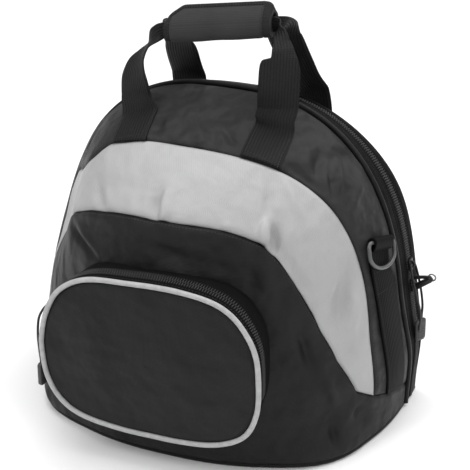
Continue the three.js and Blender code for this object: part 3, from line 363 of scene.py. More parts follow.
# How far from a seam each effect on a panel reaches, and how long its waves are.
DIP_REACH = 2.2
PUFF_FAR = 45.0
PUFF_NEAR = 5.0
PUCKER_WAVE = 11.0
PUCKER_REACH = 13.0
PUCKER_CLEAR = 2.0
SLACK_WAVES = (62.0, 27.0)
SLACK_REACH = 18.0
WRINKLE_CLEAR = 1.5

# Black cloths: tone of the black, thread spacing, roughness, specular, depth of the weave and of the crush.
# The tones paint light and shade onto one black cloth: lighter on the upper panel, back and base, darker on
# the gussets and the zip tape.
BLACK_CLOTHS = {
    # Painted light: this black, used on the upper panel, back and base, is lighter than the front's for the
    # light falling on the top.
    "black_cloth": (1.6, 1.3, 0.44, 0.2, 0.0004, 0.046),
    "front_cloth": (1.0, 1.3, 0.48, 0.15, 0.0004, 0.034),
    "pad_cloth": (3.4, 1.1, 0.6, 0.1, 0.0004, 0.002),
    "binding": (1.8, 1.7, 0.6, 0.08, 0.0006, 0.0),
    # Painted shade: the gussets' black, round the bag's and the pocket's sides, is darkened for the shade
    # there.
    "gusset_cloth": (0.5, 1.3, 0.66, 0.04, 0.0004, 0.012),
    # Painted shade: the zip tape is darkened for the shade between the teeth.
    "zip_tape": (0.6, 0.9, 0.7, 0.1, 0.0003, 0.0),
}

# Studio lights: name, place, size, power.
LIGHTS = (
    ("key_light", (-1.2, -1.6, 2.0), 1.2, 31.0),
    ("side_light", (1.9, -1.3, 1.7), 1.2, 20.0),
    ("top_light", (-0.1, 0.2, 2.6), 2.0, 45.0),
    ("rim_light", (1.3, 1.5, 2.2), 2.0, 36.0),
)
LIT_POINT = Vector((0, 0, 0.2))
SKY_STRENGTH = 0.34

LATTICE = np.random.default_rng(11).random((32, 32, 32))


class BodySettings(bpy.types.PropertyGroup):
    """Sewn body and pocket."""

    cloth: bpy.props.FloatProperty(
        name="Cloth", description="Thickness of the sewn cloth", default=0.0022, unit="LENGTH"
    )
    seam_dip: bpy.props.FloatProperty(
        name="Seam dip", description="How far a seam pulls its panel in", default=0.0015, unit="LENGTH"
    )
    puff: bpy.props.FloatProperty(
        name="Puff", description="How far a panel swells between its seams", default=0.0010, unit="LENGTH"
    )
    pucker: bpy.props.FloatProperty(
        name="Pucker", description="Depth of the small gathers along seams", default=0.0005, unit="LENGTH"
    )
    slack: bpy.props.FloatProperty(
        name="Slack", description="Depth of the loose waves of a panel", default=0.0012, unit="LENGTH"
    )
    black: bpy.props.FloatVectorProperty(
        name="Black cloth",
        description="Colour of the black cloth",
        subtype="COLOR",
        default=(0.012, 0.012, 0.0122),
    )
    silver: bpy.props.FloatVectorProperty(
        name="Silver cloth", description="Colour of the yoke", subtype="COLOR", default=(0.372, 0.372, 0.374)
    )
    grey_piping: bpy.props.FloatVectorProperty(
        name="Grey piping",
        description="Colour of the pocket's piping",
        subtype="COLOR",
        default=(0.36, 0.36, 0.362),
    )


class TrimSettings(bpy.types.PropertyGroup):
    """Zips, thread, webbing and pulls."""

    tooth_pitch: bpy.props.FloatProperty(
        name="Tooth pitch", description="Distance between zip teeth", default=0.0026, unit="LENGTH"
    )
    stitch_pitch: bpy.props.FloatProperty(
        name="Stitch pitch", description="Distance between stitches", default=0.0034, unit="LENGTH"
    )
    rib: bpy.props.FloatProperty(
        name="Webbing rib", description="Width of a rib of the webbing", default=0.0029, unit="LENGTH"
    )
    webbing: bpy.props.FloatVectorProperty(
        name="Webbing", description="Colour of the webbing", subtype="COLOR", default=(0.009, 0.009, 0.0092)
    )
    ring: bpy.props.FloatVectorProperty(
        name="Ring", description="Colour of the D-ring", subtype="COLOR", default=(0.07, 0.07, 0.072)
    )
    pull: bpy.props.FloatVectorProperty(
        name="Pulls", description="Colour of the moulded pulls", subtype="COLOR", default=(0.05, 0.05, 0.051)
    )


class StageSettings(bpy.types.PropertyGroup):
    """Camera and light."""

    azimuth: bpy.props.FloatProperty(
        name="Azimuth", description="Camera's turn to the right", default=math.radians(22.6), subtype="ANGLE"
    )
    elevation: bpy.props.FloatProperty(
        name="Elevation", description="Camera's tilt down", default=math.radians(25.0), subtype="ANGLE"
    )
    camera_at: bpy.props.FloatVectorProperty(
        name="Camera",
        description="Camera's place",
        default=(0.60823, -1.38963, 0.90226),
        subtype="TRANSLATION",
    )
    view_angle: bpy.props.FloatProperty(
        name="View angle",
        description="Camera's field of view",
        default=math.radians(15.941),
        subtype="ANGLE",
    )
    floor: bpy.props.FloatVectorProperty(
        name="Floor", description="Colour of the floor", subtype="COLOR", default=(0.94, 0.94, 0.94)
    )


def smoothstep(share):
    share = np.clip(share, 0.0, 1.0)
    return share * share * (3.0 - 2.0 * share)


def unit(vectors):
    vectors = np.asarray(vectors, float)
    return vectors / np.maximum(np.linalg.norm(vectors, axis=-1, keepdims=True), 1e-9)


def curve_through(keys, values):
    """A smooth curve through a table's rows that never overshoots them."""
    keys = np.asarray(keys, float)
    values = np.asarray(values, float)
    width = np.diff(keys)
    slope = np.diff(values) / width
    before = np.concatenate([slope[:1], slope])
    after = np.concatenate([slope, slope[-1:]])
    both = before * after
    tangent = np.where(both > 0, 2 * both / np.where(both > 0, before + after, 1.0), 0.0)

    def at(key):
        i = np.clip(np.searchsorted(keys, key) - 1, 0, len(slope) - 1)
        t = np.clip((key - keys[i]) / width[i], 0.0, 1.0)
        ease = t * t * (3 - 2 * t)
        lead = t * (1 - t) ** 2 * width[i] * tangent[i]
        trail = t * t * (t - 1) * width[i] * tangent[i + 1]
        return values[i] * (1 - ease) + values[i + 1] * ease + lead + trail

    return at


def table_curve(rows, column=1):
    return curve_through([row[0] for row in rows], [row[column] for row in rows])


reach_at = table_curve(SECTIONS)
fullness_at = table_curve(SECTIONS, 2)


def half_width(z):
    rise = np.clip(np.asarray(z) / HEIGHT, 0.0, 1.0)
    arch = HALF_WIDTH * (1 - rise**SHOULDER_POWER) ** (1 / CROWN_POWER)
    return arch + HIP["rise"] * np.exp(-(((z - HIP["z"]) / HIP["spread"]) ** 2))


def seam_y(z):
    return SEAM_Y + SEAM_FOOT_SLIDE * smoothstep(1 - np.asarray(z) / SEAM_SLIDE_HEIGHT)


def is_inside(points):
    z = points[..., 2]
    power = fullness_at(z)
    across = np.abs(points[..., 0]) / half_width(z)
    depth = np.maximum(reach_at(z) + seam_y(z) - SEAM_Y, 1e-6)
    ahead = np.maximum(seam_y(z) - points[..., 1], 0.0) / depth
    return (z < HEIGHT) & (np.minimum(across, 9) ** power + np.minimum(ahead, 9) ** power < 1)


def fold_at(points, folds=FOLDS):
    total = np.zeros(points.shape[:-1])
    for middle, run, long, wide, rise in folds:
        away = points - np.array(middle, float)
        along = away @ unit(run)
        across = np.maximum((away**2).sum(-1) - along**2, 0.0)
        total += rise * np.exp(-((along / long) ** 2) - across / wide**2)
    return total


def last_inside(start, ray):
    """The last point inside the body on each ray from an inner point."""
    start, ray = np.broadcast_arrays(np.asarray(start, float), np.asarray(ray, float))
    near = np.zeros(ray.shape[:-1])
    far = np.full(ray.shape[:-1], 2 * HEIGHT)
    for _ in range(34):
        middle = (near + far) / 2
        hit = is_inside(start + ray * middle[..., None])
        near = np.where(hit, middle, near)
        far = np.where(hit, far, middle)
    return start + ray * near[..., None]


def folded(points):
    """Points of the plain body moved by its folds and by the bulges of its foot."""
    level = unit((points - CORE) * np.array([1.0, 1.0, 0.0]))
    bulged = level * fold_at(points, FOOT_FOLDS)[..., None]
    return points + unit(points - CORE) * fold_at(points)[..., None] + bulged


def on_body(guess):
    return folded(last_inside(CORE, unit(guess - CORE)))


def cast(start, ray):
    """Points where rays from inner points leave the folded body. Both are given as x, y and z."""
    start, ray = (np.stack(np.broadcast_arrays(*parts), -1) for parts in (start, ray))
    return folded(last_inside(start, ray))


def on_top(x, y):
    return cast((x, y, CORE[2]), (0.0, 0.0, 1.0))


def on_front(x, z):
    return cast((x, SEAM_Y, z), (0.0, -1.0, 0.0))


def on_side(y, z):
    return cast((0.0, y, z), (1.0, 0.0, 0.0))


def on_wall(bearing, z):
    return cast((0.0, CORE[1], z), (np.cos(bearing), -np.sin(bearing), 0.0))


def smooth_line(points, spans=24):
    """A smooth curve through points, with spans steps between neighbours."""
    p = np.asarray(points, float)
    p = np.vstack([2 * p[0] - p[1], p, 2 * p[-1] - p[-2]])
    p0, p1, p2, p3 = p[:-3], p[1:-2], p[2:-1], p[3:]
    step = np.maximum(np.sqrt(np.linalg.norm(np.diff(p, axis=0), axis=1)), 1e-4)[:, None]
    d0, d1, d2 = step[:-2], step[1:-1], step[2:]
    lead = ((p1 - p0) / d0 - (p2 - p0) / (d0 + d1) + (p2 - p1) / d1) * d1
    trail = ((p2 - p1) / d1 - (p3 - p1) / (d1 + d2) + (p3 - p2) / d2) * d1
    u = np.linspace(0, 1, spans, endpoint=False)[None, :, None]
    a, b = p1[:, None], p2[:, None]
    m, n = lead[:, None], trail[:, None]
    line = (2 * u**3 - 3 * u**2 + 1) * a + (u**3 - 2 * u**2 + u) * m
    line = line + (3 * u**2 - 2 * u**3) * b + (u**3 - u**2) * n
    return np.vstack([line.reshape(-1, p.shape[1]), p[-2]])


def lengths_along(line):
    steps = np.linalg.norm(np.diff(line, axis=0), axis=-1)
    return np.concatenate([np.zeros((1,) + steps.shape[1:]), np.cumsum(steps, axis=0)])


def evenly(line, count):
    """count points spaced evenly along a line."""
    run = lengths_along(line)
    at = np.linspace(0, run[-1], count)
    return np.stack([np.interp(at, run, line[:, k]) for k in range(line.shape[1])], -1)


def seam_line(rows, count):
    right = np.array(rows, float)
    return evenly(smooth_line(np.vstack([right, right[-2::-1] * MIRROR])), count)


def yoke_line(right_rows, left_rows, count):
    """A seam of the yoke, whose left half lies further back than its right."""
    half = count // 2
    return np.vstack([seam_line(right_rows, count)[:half], seam_line(left_rows, count)[half:]])


def arch_line(foot_z, count):
    """The arch seam from the right foot over the crown to the left foot."""
    first = math.asin((foot_z / HEIGHT) ** (SHOULDER_POWER / 2))
    angle = np.linspace(first, math.pi / 2, 240)
    z = HEIGHT * np.sin(angle) ** (2 / SHOULDER_POWER)
    x = half_width(z)
    x[-1] = 0.0
    right = np.stack([x, seam_y(z), z], -1)
    return evenly(np.vstack([right, right[-2::-1] * MIRROR]), count)


def soft_noise(points, size):
    """Smooth noise from -1 to 1 whose waves are about size millimetres across."""
    place = np.asarray(points, float) / size + 64.0
    cell = np.floor(place).astype(int)
    t = place - cell
    t = t * t * (3 - 2 * t)
    total = np.zeros(place.shape[:-1])
    for corner in np.ndindex(2, 2, 2):
        weight = np.ones(place.shape[:-1])
        for k in range(3):
            weight = weight * (t[..., k] if corner[k] else 1 - t[..., k])
        at = (cell + np.array(corner)) % 32
        total += weight * LATTICE[at[..., 0], at[..., 1], at[..., 2]]
    return 2 * total - 1


def grid_normals(grid, inner=CORE):
    """Normals of a grid of points, turned away from inner."""
    normals = unit(np.cross(np.gradient(grid, axis=1), np.gradient(grid, axis=0)))
    return -normals if (normals * (grid - inner)).sum() < 0 else normals


def edge_runs(grid):
    """Distance in millimetres from each grid point to the first and last rows and columns."""
    down = lengths_along(grid)
    over = lengths_along(np.swapaxes(grid, 0, 1)).T
    return down, down[-1] - down, over, over[:, -1:] - over


def dressed(grid, settings, seed, ends=True):
    """A panel pulled in at its seams, gathered along them and slack between."""
    down, up, over, under = edge_runs(grid)
    near = np.minimum(down, up)
    if ends:
        near = np.minimum(near, np.minimum(over, under))
    dip = settings.seam_dip / MM * np.exp(-((near / DIP_REACH) ** 2))
    puff = settings.puff / MM * (np.exp(-near / PUFF_FAR) - np.exp(-near / PUFF_NEAR))
    along = np.stack([over, np.where(down < up, 0.0, 400.0) + seed, np.zeros(over.shape)], -1)
    gathers = np.exp(-near / PUCKER_REACH) * (1 - np.exp(-near / PUCKER_CLEAR))
    pucker = settings.pucker / MM * soft_noise(along, PUCKER_WAVE) * gathers
    slack = soft_noise(grid + seed, SLACK_WAVES[0]) + 0.5 * soft_noise(grid + seed + 300, SLACK_WAVES[1])
    slack = settings.slack / MM * slack * (1 - np.exp(-near / SLACK_REACH))
    wrinkles = fold_at(grid, WRINKLES) * (1 - np.exp(-near / WRINKLE_CLEAR))
    return grid + grid_normals(grid) * (puff + pucker + slack + wrinkles - dip)[..., None]


def between(first, last, rows):
    """Rows from one line of points or numbers to another."""
    t = np.linspace(0, 1, rows).reshape(-1, *[1] * first.ndim)
    return first[None] * (1 - t) + last[None] * t


def rings_inward(rim, middle, share):
    """Rings of points from a rim in to its middle, and each point's distance from the rim."""
    near = (1 - share[:, None]) * np.linalg.norm(rim - middle, axis=-1)[None]
    return middle + (rim - middle)[None] * share[:, None, None], near


def flat_map(grid):
    """A map of a grid in millimetres along its rows and columns."""
    return np.stack([lengths_along(np.swapaxes(grid, 0, 1)).T, lengths_along(grid)], -1)


def row_at(grid, distance, from_last=False):
    """A line across a grid at a distance from its first or last row."""
    grid = grid[::-1] if from_last else grid
    run = lengths_along(grid)
    line = np.empty((grid.shape[1], 3))
    for c in range(grid.shape[1]):
        for k in range(3):
            line[c, k] = np.interp(distance, run[:, c], grid[:, c, k])
    return line


def select_only(piece):
    bpy.ops.object.select_all(action="DESELECT")
    piece.select_set(True)
    bpy.context.view_layer.objects.active = piece


def mesh_piece(name, points, faces, uv):
    """A mesh object from points in millimetres, its faces turned outward."""
    points = np.asarray(points, float)
    volume = 0.0
    for group in faces:
        group = np.asarray(group)
        for k in range(2, group.shape[1]):
            a, b, c = points[group[:, 0]], points[group[:, k - 1]], points[group[:, k]]
            volume += (a * np.cross(b, c)).sum()
    polygons = []
    for group in faces:
        group = np.asarray(group)
        polygons += (group[:, ::-1] if volume < 0 else group).tolist()
    mesh = bpy.data.meshes.new(name)
    mesh.from_pydata((points * MM).tolist(), [], polygons)
    corners = np.empty(len(mesh.loops), np.int32)
    mesh.loops.foreach_get("vertex_index", corners)
    layer = mesh.uv_layers.new(name="UVMap")
    layer.data.foreach_set("uv", np.asarray(uv, np.float32)[corners].ravel())
    mesh.polygons.foreach_set("use_smooth", np.ones(len(mesh.polygons), bool))
    piece = bpy.data.objects.new(name, mesh)
    bpy.context.scene.collection.objects.link(piece)
    return piece


def quads_of(rows, columns, ring, start=0):
    spans = columns if ring else columns - 1
    r, c = np.meshgrid(np.arange(rows - 1), np.arange(spans), indexing="ij")
    r, c = r.ravel(), c.ravel()
    d = (c + 1) % columns
    low, high = r * columns, (r + 1) * columns
    return start + np.stack([low + c, low + d, high + d, high + c], -1)


def wall_piece(name, outer, inner, uv, ring=False):
    """A closed wall between two grids of points. A ring's last column meets its first."""
    rows, columns = outer.shape[:2]
    size = rows * columns
    faces = [quads_of(rows, columns, ring), quads_of(rows, columns, ring, size)[:, ::-1]]
    c = np.arange(columns if ring else columns - 1)
    d = (c + 1) % columns
    last = (rows - 1) * columns
    faces.append(np.stack([c, c + size, d + size, d], -1))
    faces.append(np.stack([last + c, last + d, last + d + size, last + c + size], -1))
    if not ring:
        r = np.arange(rows - 1) * columns
        faces.append(np.stack([r, r + columns, r + columns + size, r + size], -1))
        e = r + columns - 1
        faces.append(np.stack([e, e + size, e + columns + size, e + columns], -1))
    points = np.vstack([outer.reshape(-1, 3), inner.reshape(-1, 3)])
    flat = uv.reshape(-1, 2)
    return mesh_piece(name, points, faces, np.vstack([flat, flat]))


def cloth_piece(name, grid, thick):
    """A cloth wall whose outer face is a grid."""
    return wall_piece(name, grid, grid - grid_normals(grid) * thick, flat_map(grid))


def tube_piece(name, line, radius, sides, ring=False, guide=(0.0, 0.0, 1.0)):
    """A round tube along a line, its map running round and along."""
    ahead = unit(np.gradient(line, axis=0))
    if ring:
        ahead = unit(np.roll(line, -1, axis=0) - np.roll(line, 1, axis=0))
    side = unit(np.cross(ahead, guide))
    rise = np.cross(side, ahead)
    radius = np.broadcast_to(np.asarray(radius, float), (len(line),))
    angle = np.linspace(0, 2 * math.pi, sides, endpoint=False)
    spin = np.cos(angle)[None, :, None] * side[:, None] + np.sin(angle)[None, :, None] * rise[:, None]
    points = line[:, None] + spin * radius[:, None, None]
    run = lengths_along(line)
    uv = np.stack(np.broadcast_arrays(angle[None] * radius.mean(), run[:, None]), -1)
    count = len(line)
    index = np.arange(count * sides).reshape(count, sides)
    after = np.roll(index, -1, axis=1)
    below = np.roll(index, -1, axis=0) if ring else index[1:]
    below_after = np.roll(below, -1, axis=1)
    spans = count if ring else count - 1
    faces = [np.stack([index[:spans], after[:spans], below_after, below], -1).reshape(-1, 4)]
    points = points.reshape(-1, 3)
    uv = uv.reshape(-1, 2)
    if not ring:
        points = np.vstack([points, line[:1], line[-1:]])
        uv = np.vstack([uv, uv[:1], uv[-1:]])
        head = np.full(sides, count * sides)
        faces.append(np.stack([head, after[0], index[0]], -1))
        faces.append(np.stack([head + 1, index[-1], after[-1]], -1))
    return mesh_piece(name, points, faces, uv)


STITCH = (
    np.array([[-1, 0, 0], [1, 0, 0], [0, -1, 0], [0, 1, 0], [0, 0, -1], [0, 0, 1.0]]),
    np.array([[1, 3, 5], [3, 0, 5], [0, 2, 5], [2, 1, 5], [3, 1, 4], [0, 3, 4], [2, 0, 4], [1, 2, 4]]),
)
TOOTH = (
    np.array(
        [
            [-1, -1, -1], [1, -1, -1], [1, 1, -1], [-1, 1, -1],
            [-0.5, -0.9, 1], [0.5, -0.9, 1], [0.5, 0.9, 1], [-0.5, 0.9, 1.0],
        ]
    ),
    np.array([[3, 2, 1, 0], [4, 5, 6, 7], [0, 1, 5, 4], [1, 2, 6, 5], [2, 3, 7, 6], [3, 0, 4, 7]]),
)


def repeated(name, shape, places, along, out, half):
    """One small form repeated at many places, each turned along its line."""
    corners, faces = shape
    out = unit(out - along * (out * along).sum(-1, keepdims=True))
    across = np.cross(out, along)
    spread = corners * np.asarray(half, float)
    points = places[:, None] + spread[None, :, 0:1] * along[:, None]
    points = points + spread[None, :, 1:2] * across[:, None] + spread[None, :, 2:3] * out[:, None]
    count = len(places)
    index = (np.arange(count)[:, None, None] * len(corners) + faces[None]).reshape(-1, faces.shape[1])
    uv = np.repeat(np.stack([np.arange(count), np.zeros(count)], -1), len(corners), axis=0)
    return mesh_piece(name, points.reshape(-1, 3), [index], uv)


def stitch_places(line, out, pitch):
    """Even places, directions and normals along a line."""
    run = lengths_along(line)
    count = max(int(run[-1] / pitch), 2)
    even = evenly(line, count + 1)
    at = np.linspace(0, run[-1], count + 1)
    normal = np.stack([np.interp(at, run, out[:, k]) for k in range(3)], -1)
    return even, unit(np.gradient(even, axis=0)), unit(normal)


class Finish:
    """Builds one material's nodes."""

    def __init__(self, name):
        self.material = bpy.data.materials.new(name)
        self.material.use_nodes = True
        self.nodes = self.material.node_tree.nodes
        self.links = self.material.node_tree.links
        self.shader = self.nodes["Principled BSDF"]

    def node(self, kind, **values):
        made = self.nodes.new(kind)
        for key, value in values.items():
            setattr(made, key, value)
        return made

    def link(self, source, target):
        self.links.new(source, target)

    def place(self):
        return self.node("ShaderNodeTexCoord").outputs["Object"]

    def map(self):
        return self.node("ShaderNodeUVMap", uv_map="UVMap").outputs["UV"]

    def noise(self, vector, scale, detail=3.0):
        made = self.node("ShaderNodeTexNoise")
        made.inputs["Scale"].default_value = scale
        made.inputs["Detail"].default_value = detail
        self.link(vector, made.inputs["Vector"])
        return made.outputs["Fac"]

    def bands(self, vector, period, axis, soft=0.0):
        made = self.node("ShaderNodeTexWave", wave_type="BANDS", bands_direction=axis, wave_profile="SIN")
        made.inputs["Scale"].default_value = 2 * math.pi / (20.0 * period)
        made.inputs["Distortion"].default_value = soft
        self.link(vector, made.inputs["Vector"])
        return made.outputs["Fac"]

    def math(self, operation, first, second):
        made = self.node("ShaderNodeMath", operation=operation)
        for socket, value in zip(made.inputs, (first, second)):
            if isinstance(value, (int, float)):
                socket.default_value = value
            else:
                self.link(value, socket)
        return made.outputs["Value"]

    def spread(self, value, low, high):
        made = self.node("ShaderNodeMapRange")
        made.inputs["To Min"].default_value = low
        made.inputs["To Max"].default_value = high
        self.link(value, made.inputs["Value"])
        return made.outputs["Result"]

    def colours(self, value, dark, light, start=0.3, end=0.7):
        made = self.node("ShaderNodeValToRGB")
        made.color_ramp.elements[0].position = start
        made.color_ramp.elements[1].position = end
        made.color_ramp.elements[0].color = (*dark, 1.0)
        made.color_ramp.elements[1].color = (*light, 1.0)
        self.link(value, made.inputs["Fac"])
        self.link(made.outputs["Color"], self.shader.inputs["Base Color"])

    def bump(self, height, strength, distance):
        made = self.node("ShaderNodeBump")
        made.inputs["Strength"].default_value = strength
        made.inputs["Distance"].default_value = distance
        self.link(height, made.inputs["Height"])
        self.link(made.outputs["Normal"], self.shader.inputs["Normal"])

    def surface(self, roughness, specular, sheen=0.0):
        self.shader.inputs["Roughness"].default_value = roughness
        self.shader.inputs["Specular IOR Level"].default_value = specular
        self.shader.inputs["Sheen Weight"].default_value = sheen


def toned(colour, factor):
    return tuple(min(channel * factor, 1.0) for channel in colour)


def woven_cloth(name, colour, period, roughness, specular, depth, crush, turn=0.0, contrast=0.2):
    """Plain-woven cloth, its threads crossing along the piece's own map, softly crushed."""
    finish = Finish(name)
    finish.surface(roughness, specular)
    turned = finish.node("ShaderNodeMapping")
    turned.inputs["Rotation"].default_value = (0.0, 0.0, turn)
    finish.link(finish.map(), turned.inputs["Vector"])
    warp = finish.bands(turned.outputs["Vector"], period, "X")
    weft = finish.bands(turned.outputs["Vector"], period, "Y")
    weave = finish.math("MULTIPLY", warp, weft)
    place = finish.place()
    cloud = finish.noise(place, 34.0, 4.0)
    grain = finish.noise(place, 900.0, 2.0)
    tone = finish.math("ADD", finish.math("MULTIPLY", weave, 0.45), finish.math("MULTIPLY", cloud, 0.55))
    finish.colours(tone, toned(colour, 1 - contrast), toned(colour, 1 + contrast), 0.2, 0.75)
    finish.link(finish.spread(cloud, roughness - 0.06, roughness + 0.06), finish.shader.inputs["Roughness"])
    threads = finish.math("ADD", weave, finish.math("MULTIPLY", grain, 0.5))
    crumple = finish.math("MULTIPLY", finish.noise(place, 20.0, 2.5), crush)
    finish.bump(finish.math("ADD", finish.math("MULTIPLY", threads, depth), crumple), 0.6, 1.0)
    return finish.material


def ribbed_webbing(name, colour, rib, depth=0.0006, specular=0.15):
    """Webbing with ribs along its length and a fine cross weave."""
    finish = Finish(name)
    finish.surface(0.5, specular)
    cloth = finish.map()
    ribs = finish.bands(cloth, rib, "X")
    picks = finish.bands(cloth, 1.5, "Y", 0.3)
    weave = finish.math("ADD", ribs, finish.math("MULTIPLY", picks, 0.6))
    cloud = finish.noise(finish.place(), 60.0)
    # The colour follows the ribs, over a random cloudy tone: painted shade in the grooves between them and
    # painted highlight on their ridges.
    tone = finish.math("ADD", finish.math("MULTIPLY", ribs, 0.8), finish.math("MULTIPLY", cloud, 0.3))
    finish.colours(tone, toned(colour, 0.65), toned(colour, 1.6), 0.15, 1.0)
    finish.bump(weave, 0.7, depth)
    return finish.material


def piping_cloth(name, colour, roughness, specular):
    """Bias cloth drawn tight over a cord."""
    finish = Finish(name)
    finish.surface(roughness, specular, 0.05)
    cloth = finish.map()
    weave = finish.math("MULTIPLY", finish.bands(cloth, 1.2, "X"), finish.bands(cloth, 1.2, "Y"))
    drawn = finish.noise(finish.place(), 160.0, 3.0)
    finish.colours(drawn, toned(colour, 0.86), toned(colour, 1.12))
    finish.bump(finish.math("ADD", weave, drawn), 0.4, 0.0003)
    return finish.material


def moulded(name, colour, roughness, specular):
    """Moulded plastic with a fine spark texture and a slightly cloudy tone."""
    finish = Finish(name)
    finish.surface(roughness, specular)
    place = finish.place()
    grain = finish.noise(place, 1400.0, 2.0)
    cloud = finish.noise(place, 120.0, 3.0)
    finish.colours(cloud, toned(colour, 0.85), toned(colour, 1.18))
    finish.link(finish.spread(cloud, roughness - 0.07, roughness + 0.07), finish.shader.inputs["Roughness"])
    finish.bump(grain, 0.25, 0.0002)
    return finish.material


def painted_metal(name, colour):
    finish = Finish(name)
    finish.surface(0.36, 0.3)
    place = finish.place()
    cloud = finish.noise(place, 300.0, 3.0)
    finish.colours(cloud, toned(colour, 0.7), toned(colour, 1.5))
    finish.link(finish.spread(cloud, 0.28, 0.45), finish.shader.inputs["Roughness"])
    finish.bump(finish.noise(place, 2000.0, 2.0), 0.2, 0.0001)
    return finish.material


def sewing_thread(name, colour):
    finish = Finish(name)
    finish.surface(0.5, 0.35, 0.1)
    twist = finish.noise(finish.place(), 1500.0, 2.0)
    finish.colours(twist, toned(colour, 0.7), toned(colour, 1.3))
    finish.bump(twist, 0.4, 0.0002)
    return finish.material


def make_finish(name, label):
    """One material by its finish's name."""
    body = bpy.context.scene.tank_bag_body
    trim = bpy.context.scene.tank_bag_trim
    rib = trim.rib / MM
    if name in BLACK_CLOTHS:
        tone, *weave = BLACK_CLOTHS[name]
        return woven_cloth(label, toned(body.black, tone), *weave)
    recipes = {
        "silver_cloth": (woven_cloth, body.silver, 1.6, 0.42, 0.3, 0.0003, 0.02, math.radians(45), 0.07),
        "dark_piping": (piping_cloth, body.black, 0.36, 0.1),
        "grey_piping": (piping_cloth, body.grey_piping, 0.45, 0.45),
        # Painted highlight: the coil's black is lightened for the light on the teeth's ridges.
        "zip_coil": (moulded, toned(body.black, 2.8), 0.5, 0.25),
        "webbing": (ribbed_webbing, toned(trim.webbing, 0.85), rib),
        # Painted shade: the side strap's webbing is darker than the handles' for the shade on the bag's
        # side.
        "strap_webbing": (ribbed_webbing, toned(trim.webbing, 0.7), rib, 0.0002, 0.04),
        "ring_plastic": (moulded, trim.ring, 0.3, 0.6),
        # Painted highlight: the pull's ring is made pale for the light on the rim round the pull's tip.
        "pull_ring": (moulded, toned(trim.ring, 3.0), 0.35, 0.5),
        "pull_dark": (moulded, toned(body.black, 0.7), 0.4, 0.4),
        "slider_metal": (painted_metal, toned(body.black, 0.35)),
        "pull_plastic": (moulded, trim.pull, 0.5, 0.4),
        "thread": (sewing_thread, toned(body.black, 1.5)),
        "cord": (sewing_thread, toned(trim.webbing, 0.9)),
    }
    recipe, *values = recipes[name]
    return recipe(label, *values)


def finish_named(name):
    """A finish's material, made where it is first asked for."""
    label = name + "_finish"
    return bpy.data.materials.get(label) or make_finish(name, label)


def fitted(piece, finish, nodes=(), body="bag"):
    """Gives a piece its material, its body and the solids that it stands for."""
    piece.data.materials.clear()
    piece.data.materials.append(finish_named(finish))
    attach(piece, body)
    if nodes:
        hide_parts(*nodes)
    return piece


def thread_piece(name, lines, pitch):
    """Rows of stitches along lines, each given with its normals."""
    parts = [stitch_places(line, out, pitch) for line, out in lines]
    places, along, out = (np.vstack(group) for group in zip(*parts))
    piece = repeated(name, STITCH, places, along, out, (pitch * 0.36, 0.42, 0.36))
    fitted(piece, "thread")


def outward(points):
    return unit(points - CORE)


def with_normals(lines):
    return [(line, outward(line)) for line in lines]


def upper_grid(settings):
    top = arch_line(SKIRT_SEAM_Z, 360) - np.array([0.0, SEAM_CLEAR - SEAM_TUCK, 0.0])
    foot = yoke_line(SILVER_OUTER, SILVER_OUTER_LEFT, 360)
    return dressed(on_body(between(top, foot, 40)), settings, seed=10.0)


def silver_grid(settings):
    top = yoke_line(SILVER_OUTER, SILVER_OUTER_LEFT, 400)
    foot = yoke_line(SILVER_INNER, SILVER_INNER_LEFT, 400)
    return dressed(on_body(between(top, foot, 44)), settings, seed=20.0)


def bearing_of(points):
    return np.arctan2(CORE[1] - points[..., 1], points[..., 0])


def wall_bearing(share, z):
    edge = np.stack([half_width(z), seam_y(z) - SEAM_CLEAR + SEAM_TUCK, np.asarray(z, float)], -1)
    first = bearing_of(edge)
    return first + (math.pi - 2 * first) * share


def lower_edge(outer_rows, inner_rows, side):
    """Half of the lower panel's upper edge before folding, as bearings from that side and heights."""
    skirt = arch_line(SKIRT_SEAM_Z, 9)[0] - np.array([0.0, SEAM_CLEAR, 0.0])
    outer = np.array(outer_rows[0], float)
    inner = seam_line(inner_rows, 241)[:121]
    t = np.linspace(0, 1, 24)[:, None]
    path = np.vstack([skirt + (outer - skirt) * t, (outer + (inner[0] - outer) * t)[1:], inner[1:]])
    seam = last_inside(CORE, unit(path * np.array([side, 1, 1]) - CORE))
    below = unit(np.cross(np.gradient(seam, axis=0), seam - CORE)) * 0.7
    below = np.where(below[:, 2:] > 0, -below, below)
    edge = seam + below
    bearing = bearing_of(edge * np.array([side, 1, 1]))
    return np.maximum.accumulate(bearing), edge[:, 2]


def lower_grid(settings):
    columns, rows = 420, 110
    right = lower_edge(SILVER_OUTER, SILVER_INNER, 1)
    left = lower_edge(SILVER_OUTER_LEFT, SILVER_INNER_LEFT, -1)
    share = np.linspace(0, 1, columns)
    top = np.full(columns, LOWER_PANEL_Z)
    for _ in range(40):
        turn = wall_bearing(share, top)
        edge = np.where(share < 0.5, np.interp(turn, *right), np.interp(math.pi - turn, *left))
        top = (top + edge) / 2
    t = np.linspace(0, 1, rows)[:, None]
    z = LOWER_PANEL_Z - 2.0 + (top[None] - LOWER_PANEL_Z + 2.0) * t
    return dressed(on_wall(wall_bearing(share[None], z), z), settings, seed=30.0)


